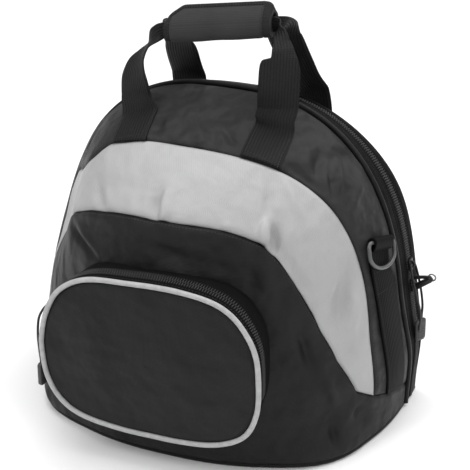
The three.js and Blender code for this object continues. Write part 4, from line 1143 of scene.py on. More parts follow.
class BAG_OT_body(bpy.types.Operator):
    """Sew the front of the bag: upper panel, silver yoke and lower panel"""

    bl_idname = "tank_bag.body"
    bl_label = "Body panels"

    def execute(self, context):
        settings = context.scene.tank_bag_body
        pitch = context.scene.tank_bag_trim.stitch_pitch / MM
        cloth = settings.cloth / MM
        upper = upper_grid(settings)
        silver = silver_grid(settings)
        lower = lower_grid(settings)
        fitted(cloth_piece("upper_cloth", upper, cloth), "black_cloth", ["upper_panel"])
        fitted(cloth_piece("silver_cloth", silver, cloth), "silver_cloth", ["silver_band"])
        fitted(cloth_piece("lower_cloth", lower, cloth), "front_cloth", ["lower_panel"])
        rows = [row_at(upper, 3.2, True), row_at(lower, 3.2, True), row_at(upper, 4.0)]
        thread_piece("body_stitches", with_normals(rows), pitch)
        return {"FINISHED"}


def foot_line(count, inset):
    share = np.linspace(0, 1, count)
    points = on_wall(wall_bearing(share, np.full(count, BASE_THICK)), np.full(count, BASE_PIPING_Z))
    inward = unit(np.array([0.0, CORE[1], BASE_PIPING_Z]) - points)
    return points + inward * inset


def back_of(points):
    drop = BACK_DROP * smoothstep((points[..., 2] - BACK_DROP_FROM) / BACK_DROP_OVER)
    return np.stack([points[..., 0], np.full(drop.shape, BACK_Y), points[..., 2] - drop], -1)


def gusset_frames(count):
    """Points of the arch seam, the way across to the back, the width and the way out."""
    seam = arch_line(GUSSET_FOOT_Z, count)
    back = back_of(seam)
    across = unit(back - seam)
    width = np.linalg.norm(back - seam, axis=-1)
    out = unit(np.cross(np.gradient(seam, axis=0), across))
    out = np.where(((out * (seam - CORE)).sum(-1) < 0)[:, None], -out, out)
    return seam, across, width, out


def zip_middle(width):
    return SEAM_CLEAR + (width - SEAM_CLEAR) * ZIP_CENTRE


class BAG_OT_back(bpy.types.Operator):
    """Make the flat back, the stiff bottom and the piping round the body's edges"""

    bl_idname = "tank_bag.back"
    bl_label = "Back, base and piping"

    def execute(self, context):
        seam, _, _, out = gusset_frames(420)
        self.make_back(back_of(seam) + np.array([0.0, BACK_THICK, 0.0]))
        self.make_base()
        roll = seam + out * (PIPING_PROUD + 0.18 * soft_noise(seam, 16.0))[:, None]
        piece = tube_piece("arch_piping", roll, PIPING_RADIUS + 0.12 * soft_noise(seam, 9.0), 14)
        fitted(piece, "dark_piping", ["seam_piping"])
        foot = foot_line(300, BASE_PIPING_RADIUS)
        foot[:, 2] = BASE_PIPING_Z
        piece = tube_piece("foot_piping", foot, BASE_PIPING_RADIUS + 0.1 * soft_noise(foot, 9.0), 14)
        fitted(piece, "dark_piping", ["base_piping"])
        return {"FINISHED"}

    def make_back(self, rim):
        """The flat back inside its arched rim, slightly wavy and drawn in at the seam."""
        rim = np.vstack([rim, np.linspace(rim[-1], rim[0], 160)[1:-1]])
        middle = np.array([0.0, BACK_Y + BACK_THICK, BACK_MIDDLE_Z])
        grid, near = rings_inward(rim, middle, np.linspace(1, INNER_RING, 60))
        wave = 1.2 * soft_noise(grid, 55.0) * (1 - np.exp(-near / 14.0)) - 1.4 * np.exp(-((near / 3.0) ** 2))
        grid = grid + np.array([0.0, 1.0, 0.0]) * (wave - BACK_SUNK)[..., None]
        inner = grid - np.array([0.0, BACK_THICK - 1.0, 0.0])
        piece = wall_piece("back_cloth", grid, inner, grid[..., [0, 2]], True)
        fitted(piece, "black_cloth", ["back_panel"])

    def make_base(self):
        """The stiff bottom, its lower edge slightly rounded."""
        foot = foot_line(160, 2 * BASE_PIPING_RADIUS + GAP)
        foot[:, 2] = 0.0
        x, y, _ = arch_line(GUSSET_FOOT_Z, 5)[0]
        back = BACK_Y + BASE_PAST_BACK
        corners = np.array([[-x, y, 0], [-x, back, 0], [x, back, 0], [x, y, 0]], float)
        sides = [np.linspace(first, last, 30)[:-1] for first, last in zip(corners[:-1], corners[1:])]
        middle = np.array([0.0, BASE_MIDDLE_Y, 0.0])
        grid, near = rings_inward(np.vstack([foot, *sides]), middle, np.linspace(1, INNER_RING, 40))
        low = grid + np.array([0.0, 0.0, 1.0]) * (0.9 * np.exp(-((near / 3.0) ** 2)))[..., None]
        top = grid + np.array([0.0, 0.0, BASE_THICK])
        piece = wall_piece("base_cloth", low, top, grid[..., :2], True)
        fitted(piece, "black_cloth", ["base_panel"])


def zip_pieces(name, line, across, out, half, pitch, nodes):
    """A zip's woven tape and its two rows of teeth, which reach past each other along the middle."""
    rows = []
    for share in np.linspace(-1, 1, 21):
        from_middle = abs(share) * half
        sunk = math.exp(-(((half - from_middle) / 1.2) ** 2))
        rise = 0.5 * math.exp(-((from_middle / 3.4) ** 4)) - sunk
        rows.append(line + across * (share * half) + out * rise)
    grid = np.stack(rows)
    tape = wall_piece(name + "_tape", grid, grid - 1.2 * out[None], flat_map(grid))
    fitted(tape, "zip_tape", nodes)
    places, along, normal = stitch_places(line, out, pitch)
    reach = min(2.6, half * 0.4)
    aside = unit(np.cross(normal, along)) * reach
    left = places + aside + normal
    right = places - aside + normal + along * (pitch / 2)
    teeth = repeated(
        name + "_teeth",
        TOOTH,
        np.vstack([left, right]),
        np.vstack([along, along]),
        np.vstack([normal, normal]),
        (pitch * 0.26, reach + 0.4, 0.85),
    )
    fitted(teeth, "zip_coil")


class BAG_OT_gusset(bpy.types.Operator):
    """Make the side wall round the arch and the long zip along its middle"""

    bl_idname = "tank_bag.gusset"
    bl_label = "Gusset and main zip"

    def execute(self, context):
        settings = context.scene.tank_bag_body
        trim = context.scene.tank_bag_trim
        seam, across, width, out = gusset_frames(460)
        middle = zip_middle(width)

        def strip(start, end):
            points = seam[None] + across[None] * between(start, end, 16)[..., None]
            return dressed(points, settings, seed=40.0, ends=False)

        front = strip(np.full(width.shape, SEAM_CLEAR - 0.8), middle - ZIP_HALF - 0.1)
        back = strip(middle + ZIP_HALF + 0.1, width + 0.2)
        for name, grid in (("front", front), ("back", back)):
            piece = cloth_piece("gusset_cloth_" + name, grid, settings.cloth / MM)
            fitted(piece, "gusset_cloth", ["gusset_" + name])
        line = seam + across * middle[:, None]
        zip_pieces("main_zip", line, across, out, ZIP_HALF, trim.tooth_pitch / MM, ["main_zip"])
        rows = [row_at(front, 2.4, True), row_at(back, 2.4), row_at(front, 3.0)]
        thread_piece("gusset_stitches", with_normals(rows), trim.stitch_pitch / MM)
        return {"FINISHED"}


pocket_slump = table_curve(POCKET_SLUMP)
POCKET_MIDDLE = np.array([0.0, POCKET["y"], POCKET["z"]])


def super_outline(angle, across, rise, drop, power):
    c, s = np.cos(angle), np.sin(angle)
    high = np.where(s > 0, rise, drop)
    x = np.sign(c) * np.abs(c) ** (2 / power)
    z = np.sign(s) * np.abs(s) ** (2 / power)
    slump = pocket_slump(np.degrees(np.arctan2(z, x)))
    return x * across * slump, POCKET["z"] + z * high * slump


def pocket_front(angle, inset=0.0):
    high = POCKET["half_height"] - inset
    x, z = super_outline(angle, POCKET["half_width"] - inset, high, high, POCKET["power"])
    return np.stack([x, np.full(x.shape, POCKET["y"]), z], -1)


def pocket_root(angle):
    rise, drop = POCKET_ROOT["rise"], POCKET_ROOT["drop"]
    x, z = super_outline(angle, POCKET_ROOT["half_width"], rise, drop, POCKET["power"])
    narrow = POCKET_ROOT["half_width"] - POCKET_CLOTH
    low, high = drop - POCKET_CLOTH, rise - POCKET_CLOTH
    inner_x, inner_z = super_outline(angle, narrow, high, low, POCKET["power"])
    return np.stack([x, on_front(inner_x, inner_z)[..., 1] - WEB_SEAT, z], -1)


def closed_run(line):
    """Lengths along a line that closes on its first point."""
    return lengths_along(np.vstack([line, line[:1]]))[:-1]


def pocket_angles(count):
    fine = np.linspace(0, 2 * math.pi, 2881)
    run = lengths_along(pocket_front(fine))
    return np.interp(np.linspace(0, run[-1], count, endpoint=False), run, fine)


def pocket_frames(angle):
    """Front edge of the pocket's gusset, the way back to the body, its width and the way out."""
    front = pocket_front(angle) + np.array([0.0, POCKET_PIPING_RADIUS + 0.1, 0.0])
    root = pocket_root(angle)
    across = unit(root - front)
    tangent = pocket_front(angle + 0.01) - pocket_front(angle - 0.01)
    out = unit(np.cross(across, tangent))
    level = np.stack([front[..., 0], np.zeros(front.shape[:-1]), front[..., 2] - POCKET["z"]], -1)
    out = np.where(((out * level).sum(-1) < 0)[..., None], -out, out)
    return front, across, np.linalg.norm(root - front, axis=-1), out


class BAG_OT_pocket(bpy.types.Operator):
    """Make the front pocket with its grey piping and its zip"""

    bl_idname = "tank_bag.pocket"
    bl_label = "Front pocket"

    def execute(self, context):
        settings = context.scene.tank_bag_body
        trim = context.scene.tank_bag_trim
        angle = pocket_angles(420)
        self.make_face(angle, settings.cloth / MM)
        roll = pocket_front(angle)
        roll = roll + unit(roll - POCKET_MIDDLE) * (0.2 * soft_noise(roll, 20.0))[:, None]
        width = POCKET_PIPING_RADIUS + 0.12 * soft_noise(roll, 12.0)
        piece = tube_piece("pocket_roll", roll, width, 16, True, np.array([0.0, 1.0, 0.0]))
        fitted(piece, "grey_piping", ["pocket_piping"])
        front, across, width, out = pocket_frames(angle)
        zipped = np.sin(angle) >= math.sin(math.radians(POCKET_ZIP_END))
        edge = POCKET_FRONT_STRIP + 0.1

        def ring_strip(name, start, end, node):
            distance = between(start, end, 18)
            strip = front[None] + across[None] * distance[..., None]
            near_edge = np.minimum(distance - start[None], end[None] - distance)
            wave = 0.8 * soft_noise(strip + 90.0, 22.0) * (1 - np.exp(-near_edge / 4.0))
            wave = wave - 0.9 * np.exp(-((near_edge / 1.8) ** 2))
            strip = strip + out[None] * wave[..., None]
            flat = np.stack(np.broadcast_arrays(closed_run(front)[None], distance), -1)
            made = wall_piece(name, strip, strip - out[None] * 2.0, flat, True)
            fitted(made, "gusset_cloth", [node])

        zeros = np.zeros(angle.shape)
        ring_strip("pocket_strip_front", zeros, zeros + edge, "pocket_gusset_front")
        back_start = np.where(zipped, edge + 2 * POCKET_ZIP_HALF + 0.2, edge + 0.2)
        ring_strip("pocket_strip_back", back_start, width, "pocket_gusset_back")
        zip_angle = np.linspace(math.radians(POCKET_ZIP_END), math.radians(180 - POCKET_ZIP_END), 1200)
        run = lengths_along(pocket_front(zip_angle))
        zip_angle = np.interp(np.linspace(0, run[-1], 300), run, zip_angle)
        z_front, z_across, _, z_out = pocket_frames(zip_angle)
        line = z_front + z_across * (edge + 0.1 + POCKET_ZIP_HALF)
        pitch = trim.tooth_pitch / MM
        zip_pieces("pocket_zip", line, z_across, z_out, POCKET_ZIP_HALF, pitch, ["pocket_zip"])
        seam = front + across * (edge - 1.6) + out * 0.3
        sewn = [(np.vstack([seam, seam[:1]]), np.vstack([out, out[:1]]))]
        thread_piece("pocket_stitches", sewn, trim.stitch_pitch / MM)
        return {"FINISHED"}

    def make_face(self, angle, cloth):
        """The crowned front of the pocket, gathered along its piping."""
        share = np.concatenate([np.linspace(1, 0.7, 40), np.linspace(0.7, INNER_RING, 40)[1:]])
        rim = pocket_front(angle, POCKET_PIPING_RADIUS - SEAM_TUCK)
        grid, near = rings_inward(rim, POCKET_MIDDLE, share)
        run = closed_run(rim)
        around = np.stack([run, np.zeros(run.shape), np.full(run.shape, 7.0)], -1)
        around = np.broadcast_to(around[None], grid.shape)
        gather = soft_noise(around, 12.0) * np.exp(-near / 11.0) * (1 - np.exp(-near / 2.5))
        slack = soft_noise(grid + 70.0, 48.0) * (1 - np.exp(-near / 25.0))
        dip = np.exp(-((near / 2.6) ** 2))
        crown = POCKET["crown"] * (1 - share[:, None] ** 2)
        forward = crown + 0.7 * gather + 1.3 * slack - 1.6 * dip + POCKET_FORWARD
        face = grid - np.array([0.0, 1.0, 0.0]) * forward[..., None]
        inner = face + np.array([0.0, cloth, 0.0])
        piece = wall_piece("pocket_cloth", face, inner, grid[..., [0, 2]], True)
        fitted(piece, "front_cloth", ["pocket_face"])


WEB_COLUMNS = np.linspace(-1, 1, 15)
WEB_MIDDLE = slice(7, 8)


def free_stations(rows, spans):
    """Lines across the webbing along a free run, and how far each point lies from its middle."""
    rows = np.array(rows, float)
    places = smooth_line(rows[:, :3], spans)
    steps = np.linspace(0, len(rows) - 1, len(places))
    keys = np.arange(len(rows))
    turn, lean, inner, outer = (curve_through(keys, rows[:, k])(steps) for k in range(3, 7))
    turn = np.radians(turn)
    tangent = unit(np.gradient(places, axis=0))
    across = np.stack([np.cos(turn), np.tan(np.radians(lean)), np.sin(turn)], -1)
    across = unit(across - tangent * (across * tangent).sum(-1, keepdims=True))
    aside = np.where(WEB_COLUMNS[None] < 0, inner[:, None], outer[:, None]) * WEB_COLUMNS[None]
    return places[:, None] + across[:, None] * aside[..., None], aside


def sewn_front(leg_x, side, splay=0.0):
    share = np.linspace(0, 1, 14)[:, None]
    x = leg_x - splay * (share - 0.4) + side * WEB_COLUMNS[None] * WEB_HALF
    seam = seam_line(SILVER_OUTER, 400)[80:320]
    start = np.interp(x, seam[::-1, 0], seam[::-1, 1]) + SEWN_CLEAR
    points = on_top(x, start + (SEWN_FRONT[1] - start) * share)
    return points + outward(points) * WEB_SEAT


def sewn_back(leg_x, side):
    z = np.linspace(SEWN_BACK[0], SEWN_BACK[1], 14)
    x, z = np.broadcast_arrays(leg_x + side * WEB_COLUMNS[None] * WEB_HALF, z[:, None])
    return np.stack([x, np.full(x.shape, BACK_Y + BACK_THICK + WEB_SEAT), z], -1)


def wrap_rows(offset):
    rows = []
    for x in (58, 29, 0, -29, -58):
        z = WRAP["z"] + WRAP_TILT * x - WRAP_HANDLE_DROP
        rows.append((x, WRAP["y"] + WRAP_YAW * x + offset, z, 90, 0, WRAP_WEB_HALF, WRAP_WEB_HALF))
    return rows


def softened(stations, passes):
    """Eases a run of webbing along its length, keeping its two ends."""
    for _ in range(passes):
        middle = (stations[:-2] + 2 * stations[1:-1] + stations[2:]) / 4
        stations = np.concatenate([stations[:1], middle, stations[-1:]])
    return stations


def webbing_piece(name, lines, aside, side):
    """Webbing whose one face is a grid of points, with thinner selvedges."""
    normals = unit(np.cross(np.gradient(lines, axis=1), np.gradient(lines, axis=0)))
    edge = 1 - 0.45 * np.abs(WEB_COLUMNS) ** 10
    swell = side * WEB_THICK * edge
    near = lines + normals * (side * WEB_THICK / 2 - swell / 2)[None, :, None]
    far = lines + normals * (side * WEB_THICK / 2 + swell / 2)[None, :, None]
    run = np.broadcast_to(lengths_along(lines[:, WEB_MIDDLE]), aside.shape)
    return wall_piece(name, near, far, np.stack([aside, run], -1))


class BAG_OT_handles(bpy.types.Operator):
    """Make the two webbing handles and the padded wrap that holds them together"""

    bl_idname = "tank_bag.handles"
    bl_label = "Handles and wrap"

    def execute(self, context):
        trim = context.scene.tank_bag_trim
        pitch = trim.stitch_pitch / MM
        right, left = sewn_front(LEG_X, 1), sewn_front(-LEG_X, -1, LEFT_LEG_SPLAY)[::-1]
        rows = [*FRONT_RIGHT_LEG, *wrap_rows(-WRAP_HANDLE_GAP), *FRONT_LEFT_LEG[::-1]]
        piece = self.make_handle("handle_webbing_front", right, rows, left, 1)
        fitted(piece, "webbing", ["handle_front"])
        right, left = sewn_back(LEG_X, 1), sewn_back(-LEG_X, -1)[::-1]
        rows = [*BACK_RIGHT_LEG, *wrap_rows(WRAP_HANDLE_GAP), *BACK_LEFT_LEG[::-1]]
        piece = self.make_handle("handle_webbing_back", right, rows, left, -1)
        fitted(piece, "webbing", ["handle_back"])
        rows = []
        for leg in (LEG_X, -LEG_X):
            sides = (leg - STITCH_INSET, leg + STITCH_INSET)
            along = np.linspace(SEWN_FRONT[0] + 3, SEWN_FRONT[1] - 2, 30)
            across = np.linspace(*sides, 24)
            lines = [on_top(x, along) for x in sides]
            lines += [on_top(across, y) for y in (SEWN_FRONT[0] + 3, SEWN_FRONT[1] - 4)]
            rows += [(line + out * (WEB_SEAT + WEB_THICK), out) for line, out in with_normals(lines)]
        thread_piece("handle_stitches", rows, pitch * 0.8)
        self.make_wrap(pitch)
        return {"FINISHED"}

    def make_handle(self, name, right, rows, left, side):
        """One strip of webbing: sewn down, up to the wrap, through it, down and sewn again."""
        free, aside = free_stations(rows, 12)
        lines = softened(np.concatenate([right, free, left]), 2)
        if side > 0:
            run = lengths_along(lines[:, WEB_MIDDLE])[:, 0]
            bends = ((len(right) - 0.5, 1), (len(lines) - len(left) - 0.5, -1))
            for (bend, way), fall in zip(bends, CREASE_SAG):
                past = way * (run - np.interp(bend, np.arange(len(run)), run))
                over = fall * np.exp(-(((past - 3.6) / 2.8) ** 2))
                lift = 0.45 * fall * np.exp(-(((past - 2.4) / 2.2) ** 2))
                lift = lift - 0.18 * fall * np.exp(-(((past + 1.2) / 1.8) ** 2))
                lines = lines + CREASE_DOWN * over[:, None, None]
                lines = lines + CREASE_AWAY * lift[:, None, None]
        sewn = np.broadcast_to(WEB_COLUMNS * WEB_HALF, (len(right), len(WEB_COLUMNS)))
        return webbing_piece(name, lines, np.concatenate([sewn, aside, sewn]), side)

    def make_wrap(self, pitch):
        """A padded sleeve folded up round the handles, its edges bound with tape."""
        first, last = WRAP_ENDS[0][0], WRAP_ENDS[-1][0]
        x = (first + last) / 2 + (last - first) / 2 * np.sin(np.linspace(-math.pi / 2, math.pi / 2, 140))
        angle = np.linspace(0, 2 * math.pi, 132, endpoint=False)
        outer = wrap_points(x, angle, 0.0)
        inner = wrap_points(x, angle, WRAP["pad"] + 3.5)
        edge = wrap_edge(x[:, None], outer[..., 2] - WRAP["z"] - WRAP_TILT * x[:, None])
        middle = np.stack([x, WRAP["y"] + WRAP_YAW * x, WRAP["z"] + WRAP_TILT * x], -1)
        away = grid_normals(outer, middle[:, None])
        puff = 0.8 * smoothstep(edge / 5.0) - 0.8 * np.exp(-((edge / 0.9) ** 2))
        wave = 0.8 * soft_noise(outer, 19.0) * smoothstep(edge / 6.0)
        outer = outer + away * (puff + wave)[..., None]
        uv = np.stack(np.broadcast_arrays(angle[None] * 13.0, x[:, None]), -1)
        piece = wall_piece("wrap_pad", outer, inner, uv, True)
        fitted(piece, "pad_cloth", ["handle_wrap"])
        piece.data.materials.append(finish_named("binding"))
        bound = np.zeros(len(piece.data.polygons), np.int32)
        share = (edge[:-1] + edge[1:]) / 2
        share = (share + np.roll(share, -1, axis=1)) / 2
        bound[: share.size] = (share < -0.1).ravel()
        piece.data.polygons.foreach_set("material_index", bound)
        rows = [self.wrap_seam(side) for side in (-1, 1)]
        thread_piece("wrap_stitches", rows, pitch * 0.8)

    def wrap_seam(self, side):
        """The line of stitches along the binding's inner edge, on the front or the back."""
        left, right, rim = WRAP_BINDING
        first, last = WRAP_ENDS[0][0] + left - 0.9, WRAP_ENDS[-1][0] - right + 0.9
        span = np.linspace(first, last, 160)
        top = WRAP["half_height"] * wrap_top(span)
        high = top - (rim - 0.9) * np.sqrt(1 + np.gradient(top, span) ** 2)
        low = np.linspace(-8.0, high[0], 30)[:-1]
        far = np.linspace(high[-1], -8.0, 30)[1:]
        along = np.concatenate([np.full(29, first), span, np.full(29, last)])
        line = wrap_face(along, np.concatenate([low, high, far]), side)
        out = np.tile([0.0, float(side), 0.3], (len(along), 1))
        return line + out * 0.1, unit(out)


wrap_top = table_curve(WRAP_ENDS)


def wrap_points(x, angle, inset):
    """Points of the sleeve: round below, thin along its upper rim, its rim dropping at both ends."""
    cosine, sine = np.cos(angle)[None], np.sin(angle)[None]
    power = 2 / WRAP["power"]
    thin = 1 + (WRAP["rim"] - 1) * smoothstep((sine + 0.2) / 1.2)
    depth = thin * (WRAP["half_depth"] - inset) * np.sign(cosine) * np.abs(cosine) ** power
    high = (WRAP["half_height"] - inset) * np.sign(sine) * np.abs(sine) ** power
    high = np.where(sine > 0, high * wrap_top(x)[:, None], high)
    points = np.stack(np.broadcast_arrays(x[:, None], depth, high), -1)
    points[..., 1] += WRAP["y"] + WRAP_YAW * x[:, None]
    points[..., 2] += WRAP["z"] + WRAP_TILT * x[:, None]
    return points


def wrap_edge(x, rise):
    """Distance inside the binding's inner edge, along the sleeve's ends and rim."""
    left, right, rim = WRAP_BINDING
    top = WRAP["half_height"] * wrap_top(x)
    slope = WRAP["half_height"] * (wrap_top(x + 0.5) - wrap_top(x - 0.5))
    inside = np.minimum(x - WRAP_ENDS[0][0] - left, WRAP_ENDS[-1][0] - right - x)
    return np.minimum(inside, (top - rise) / np.sqrt(1 + slope**2) - rim)


def wrap_face(x, rise, side):
    """Points of the sleeve's front or back face at a height from its middle."""
    share = np.clip(rise / (WRAP["half_height"] * np.where(rise > 0, wrap_top(x), 1.0)), -1, 1)
    sine = np.sign(share) * np.abs(share) ** (WRAP["power"] / 2)
    thin = 1 + (WRAP["rim"] - 1) * smoothstep((sine + 0.2) / 1.2)
    depth = side * thin * WRAP["half_depth"] * np.sqrt(1 - sine**2) ** (2 / WRAP["power"])
    return np.stack([x, WRAP["y"] + WRAP_YAW * x + depth, WRAP["z"] + WRAP_TILT * x + rise], -1)


def loop_frame():
    """The flat place on the right side where the strap's loop holds the D-ring."""
    at = on_side(STRAP_Y, LOOP_Z)
    across = unit(on_side(STRAP_Y + WEB_HALF, LOOP_Z) - on_side(STRAP_Y - WEB_HALF, LOOP_Z))
    up = unit(on_side(STRAP_Y, LOOP_Z + 8) - on_side(STRAP_Y, LOOP_Z - 8))
    out = unit(np.cross(across, up))
    across = across * math.cos(LOOP_TILT) - unit(np.cross(out, across)) * math.sin(LOOP_TILT)
    return at, across, unit(np.cross(out, across)), out


def strap_points(rise, stand_off):
    """Points of the strap, which follows the body low down and is flat and drawn in at the loop."""
    at, across, up, loop_out = loop_frame()
    rise = rise[:, None]
    stand_off = stand_off[:, None, None]
    k = WEB_COLUMNS[None]
    share = smoothstep((rise + LOOP_FLAT_FROM) / LOOP_FLAT_OVER)
    aside = k * WEB_HALF * (1 - LOOP_NARROWED * share)
    share = share[..., None]
    flat = at + across * aside[..., None] + up * rise[..., None]
    low = np.clip((rise + LOOP_FLAT_FROM) / (STRAP_FOOT_Z - LOOP_Z + LOOP_FLAT_FROM), 0, 1)
    y = STRAP_Y + low * STRAP_FOOT_BACK + aside
    z = np.minimum(LOOP_Z + rise, LOOP_Z) - low * STRAP_FOOT_SLANT * (k + 1) / 2
    normal = unit(np.cross(on_side(y + 2, z) - on_side(y - 2, z), on_side(y, z + 2) - on_side(y, z - 2)))
    out = unit(normal * (1 - share) + loop_out * share)
    return on_side(y, z) * (1 - share) + flat * share + out * stand_off


class BAG_OT_side_strap(bpy.types.Operator):
    """Make the side strap and the D-ring in its sewn loop"""

    bl_idname = "tank_bag.side_strap"
    bl_label = "Side strap and D-ring"

    def execute(self, context):
        trim = context.scene.tank_bag_trim
        turn = RING_WIRE + LOOP_CLEAR
        rise = np.linspace(STRAP_FOOT_Z - LOOP_Z, -14, 70)
        angle = np.linspace(-math.pi / 2, math.pi / 2, 26)
        tail = np.array(STRAP_TAIL)

        def face_of(seat, radius, end):
            """One face of the strap: up the body, round the loop and down behind it."""
            path = np.concatenate([rise, radius * np.cos(angle), tail[:, 0]])
            seats = np.full(rise.shape, seat)
            off = np.concatenate([seats, LOOP_OUT + radius * np.sin(angle), tail[:, 1] - end])
            return strap_points(path, off)

        back = face_of(WEB_SEAT, turn + WEB_THICK, 0.0)
        front = face_of(WEB_SEAT + WEB_THICK, turn, WEB_THICK)
        piece = wall_piece("strap_webbing", back, front, flat_map(back))
        fitted(piece, "strap_webbing", ["side_strap"])
        sewn = np.linspace(STRAP_FOOT_Z - LOOP_Z + 4, -24, 60)
        face = strap_points(sewn, np.full(sewn.shape, WEB_SEAT + WEB_THICK + 0.1))
        rows = [face[:, column] for column in (1, 13)] + [face[row, 1:14] for row in (0, 48, 57)]
        thread_piece("strap_stitches", with_normals(rows), trim.stitch_pitch / MM * 0.8)
        self.make_ring()
        return {"FINISHED"}

    def make_ring(self):
        """A D of round wire, its straight bar in the loop."""
        at, across, up, out = loop_frame()
        inner = RING_HALF - RING_CORNER
        corner = np.linspace(math.pi / 2, 0, 12)
        bow = np.linspace(0, -math.pi, 48)
        right = np.stack([inner + RING_CORNER * np.cos(corner), RING_CORNER * (np.sin(corner) - 1)], -1)
        low = np.stack([RING_HALF * np.cos(bow), -RING_SHANK + (RING_DROP - RING_SHANK) * np.sin(bow)], -1)
        left = right[::-1] * np.array([-1.0, 1.0])
        flat = np.vstack([right, low, left])
        flat = np.vstack([flat, np.linspace(flat[-1], flat[0], 16)[1:-1]])
        flat = evenly(np.vstack([flat, flat[:1]]), 141)[:-1]
        centre = at + out * LOOP_OUT
        line = centre + across * flat[:, :1] + up * flat[:, 1:]
        piece = tube_piece("d_ring_wire", line, RING_WIRE * RING_WIRE_SHOWN, 16, True, out)
        fitted(piece, "ring_plastic", ["d_ring"], body="ring")


def slider_frame(at, along, side, out):
    level = unit(np.array([out[0], out[1], 0.0]))
    return {"at": at, "along": along, "side": side, "out": out, "level": level}


def main_slider(z):
    seam, across, width, out = gusset_frames(4001)
    line = seam + across * zip_middle(width)[:, None]
    i = int(np.argmax(line[:2000, 2] >= z))
    along = unit(seam[i + 1] - seam[i - 1])
    return slider_frame(line[i], along, across[i], out[i])


def pocket_slider():
    angle = np.array([math.radians(POCKET_SLIDER_ANGLE)])
    front, across, _, out = pocket_frames(angle)
    at = front[0] + across[0] * (POCKET_FRONT_STRIP + GAP + POCKET_ZIP_HALF)
    along = unit(np.cross(across[0], out[0]))
    return slider_frame(at, along, across[0], out[0])


def bore_of(place):
    return place["at"] + place["out"] * (SLIDER_SEAT + BORE_RISE)


def placed(piece, x_way, y_way, z_way, at):
    """Moves a piece made at the origin to its place, and applies the move."""
    matrix = Matrix.Identity(4)
    for k, way in enumerate((x_way, y_way, z_way)):
        for row in range(3):
            matrix[row][k] = way[row]
    for row in range(3):
        matrix[row][3] = at[row] * MM
    piece.data.transform(matrix)
    if matrix.to_3x3().determinant() < 0:
        piece.data.flip_normals()


def rounded_block(name, size, bevel, at=(0.0, 0.0, 0.0), segments=4, corner=0.0):
    """A block with rolled edges and, seen on its face, round corners, in millimetres."""
    bpy.ops.object.select_all(action="DESELECT")
    bpy.ops.mesh.primitive_cube_add(size=1.0, location=[x * MM for x in at])
    piece = bpy.context.object
    piece.name = name
    piece.data.name = name
    piece.scale = [x * MM for x in size]
    bpy.ops.object.transform_apply(location=True, rotation=True, scale=True)
    if corner:
        bpy.ops.object.mode_set(mode="EDIT")
        bpy.ops.mesh.select_all(action="DESELECT")
        bpy.ops.object.mode_set(mode="OBJECT")
        for edge in piece.data.edges:
            first, second = (piece.data.vertices[k].co for k in edge.vertices)
            edge.select = abs(first.z - second.z) > 1e-6
        bpy.ops.object.mode_set(mode="EDIT")
        bpy.ops.mesh.select_mode(type="EDGE")
        bpy.ops.mesh.bevel(offset=corner * MM, segments=6)
        bpy.ops.object.mode_set(mode="OBJECT")
    roll = piece.modifiers.new("roll", "BEVEL")
    roll.width = bevel * MM
    roll.segments = segments
    roll.limit_method = "ANGLE" if corner else "NONE"
    roll.angle_limit = math.radians(50)
    bpy.ops.object.modifier_apply(modifier="roll")
    bpy.ops.object.shade_smooth_by_angle(angle=math.radians(40))
    return piece


def wire_curve(name, points, radius, roundness):
    """A curve of round section along points in millimetres."""
    data = bpy.data.curves.new(name, "CURVE")
    data.dimensions = "3D"
    data.bevel_depth = radius * MM
    data.bevel_resolution = roundness
    data.use_fill_caps = True
    spline = data.splines.new("POLY")
    spline.points.add(len(points) - 1)
    for target, point in zip(spline.points, points):
        target.co = (*(point * MM), 1.0)
    spline.use_smooth = True
    piece = bpy.data.objects.new(name, data)
    bpy.context.scene.collection.objects.link(piece)
    return piece


def wire_bow(name, points, radius):
    """A bent round wire as a mesh."""
    select_only(wire_curve(name, points, radius, 4))
    bpy.ops.object.convert(target="MESH")
    bpy.ops.object.shade_smooth()
    return bpy.context.object


def joined(name, pieces):
    bpy.ops.object.select_all(action="DESELECT")
    for piece in pieces:
        piece.select_set(True)
    bpy.context.view_layer.objects.active = pieces[0]
    bpy.ops.object.join()
    made = bpy.context.object
    made.name = name
    made.data.name = name
    return made


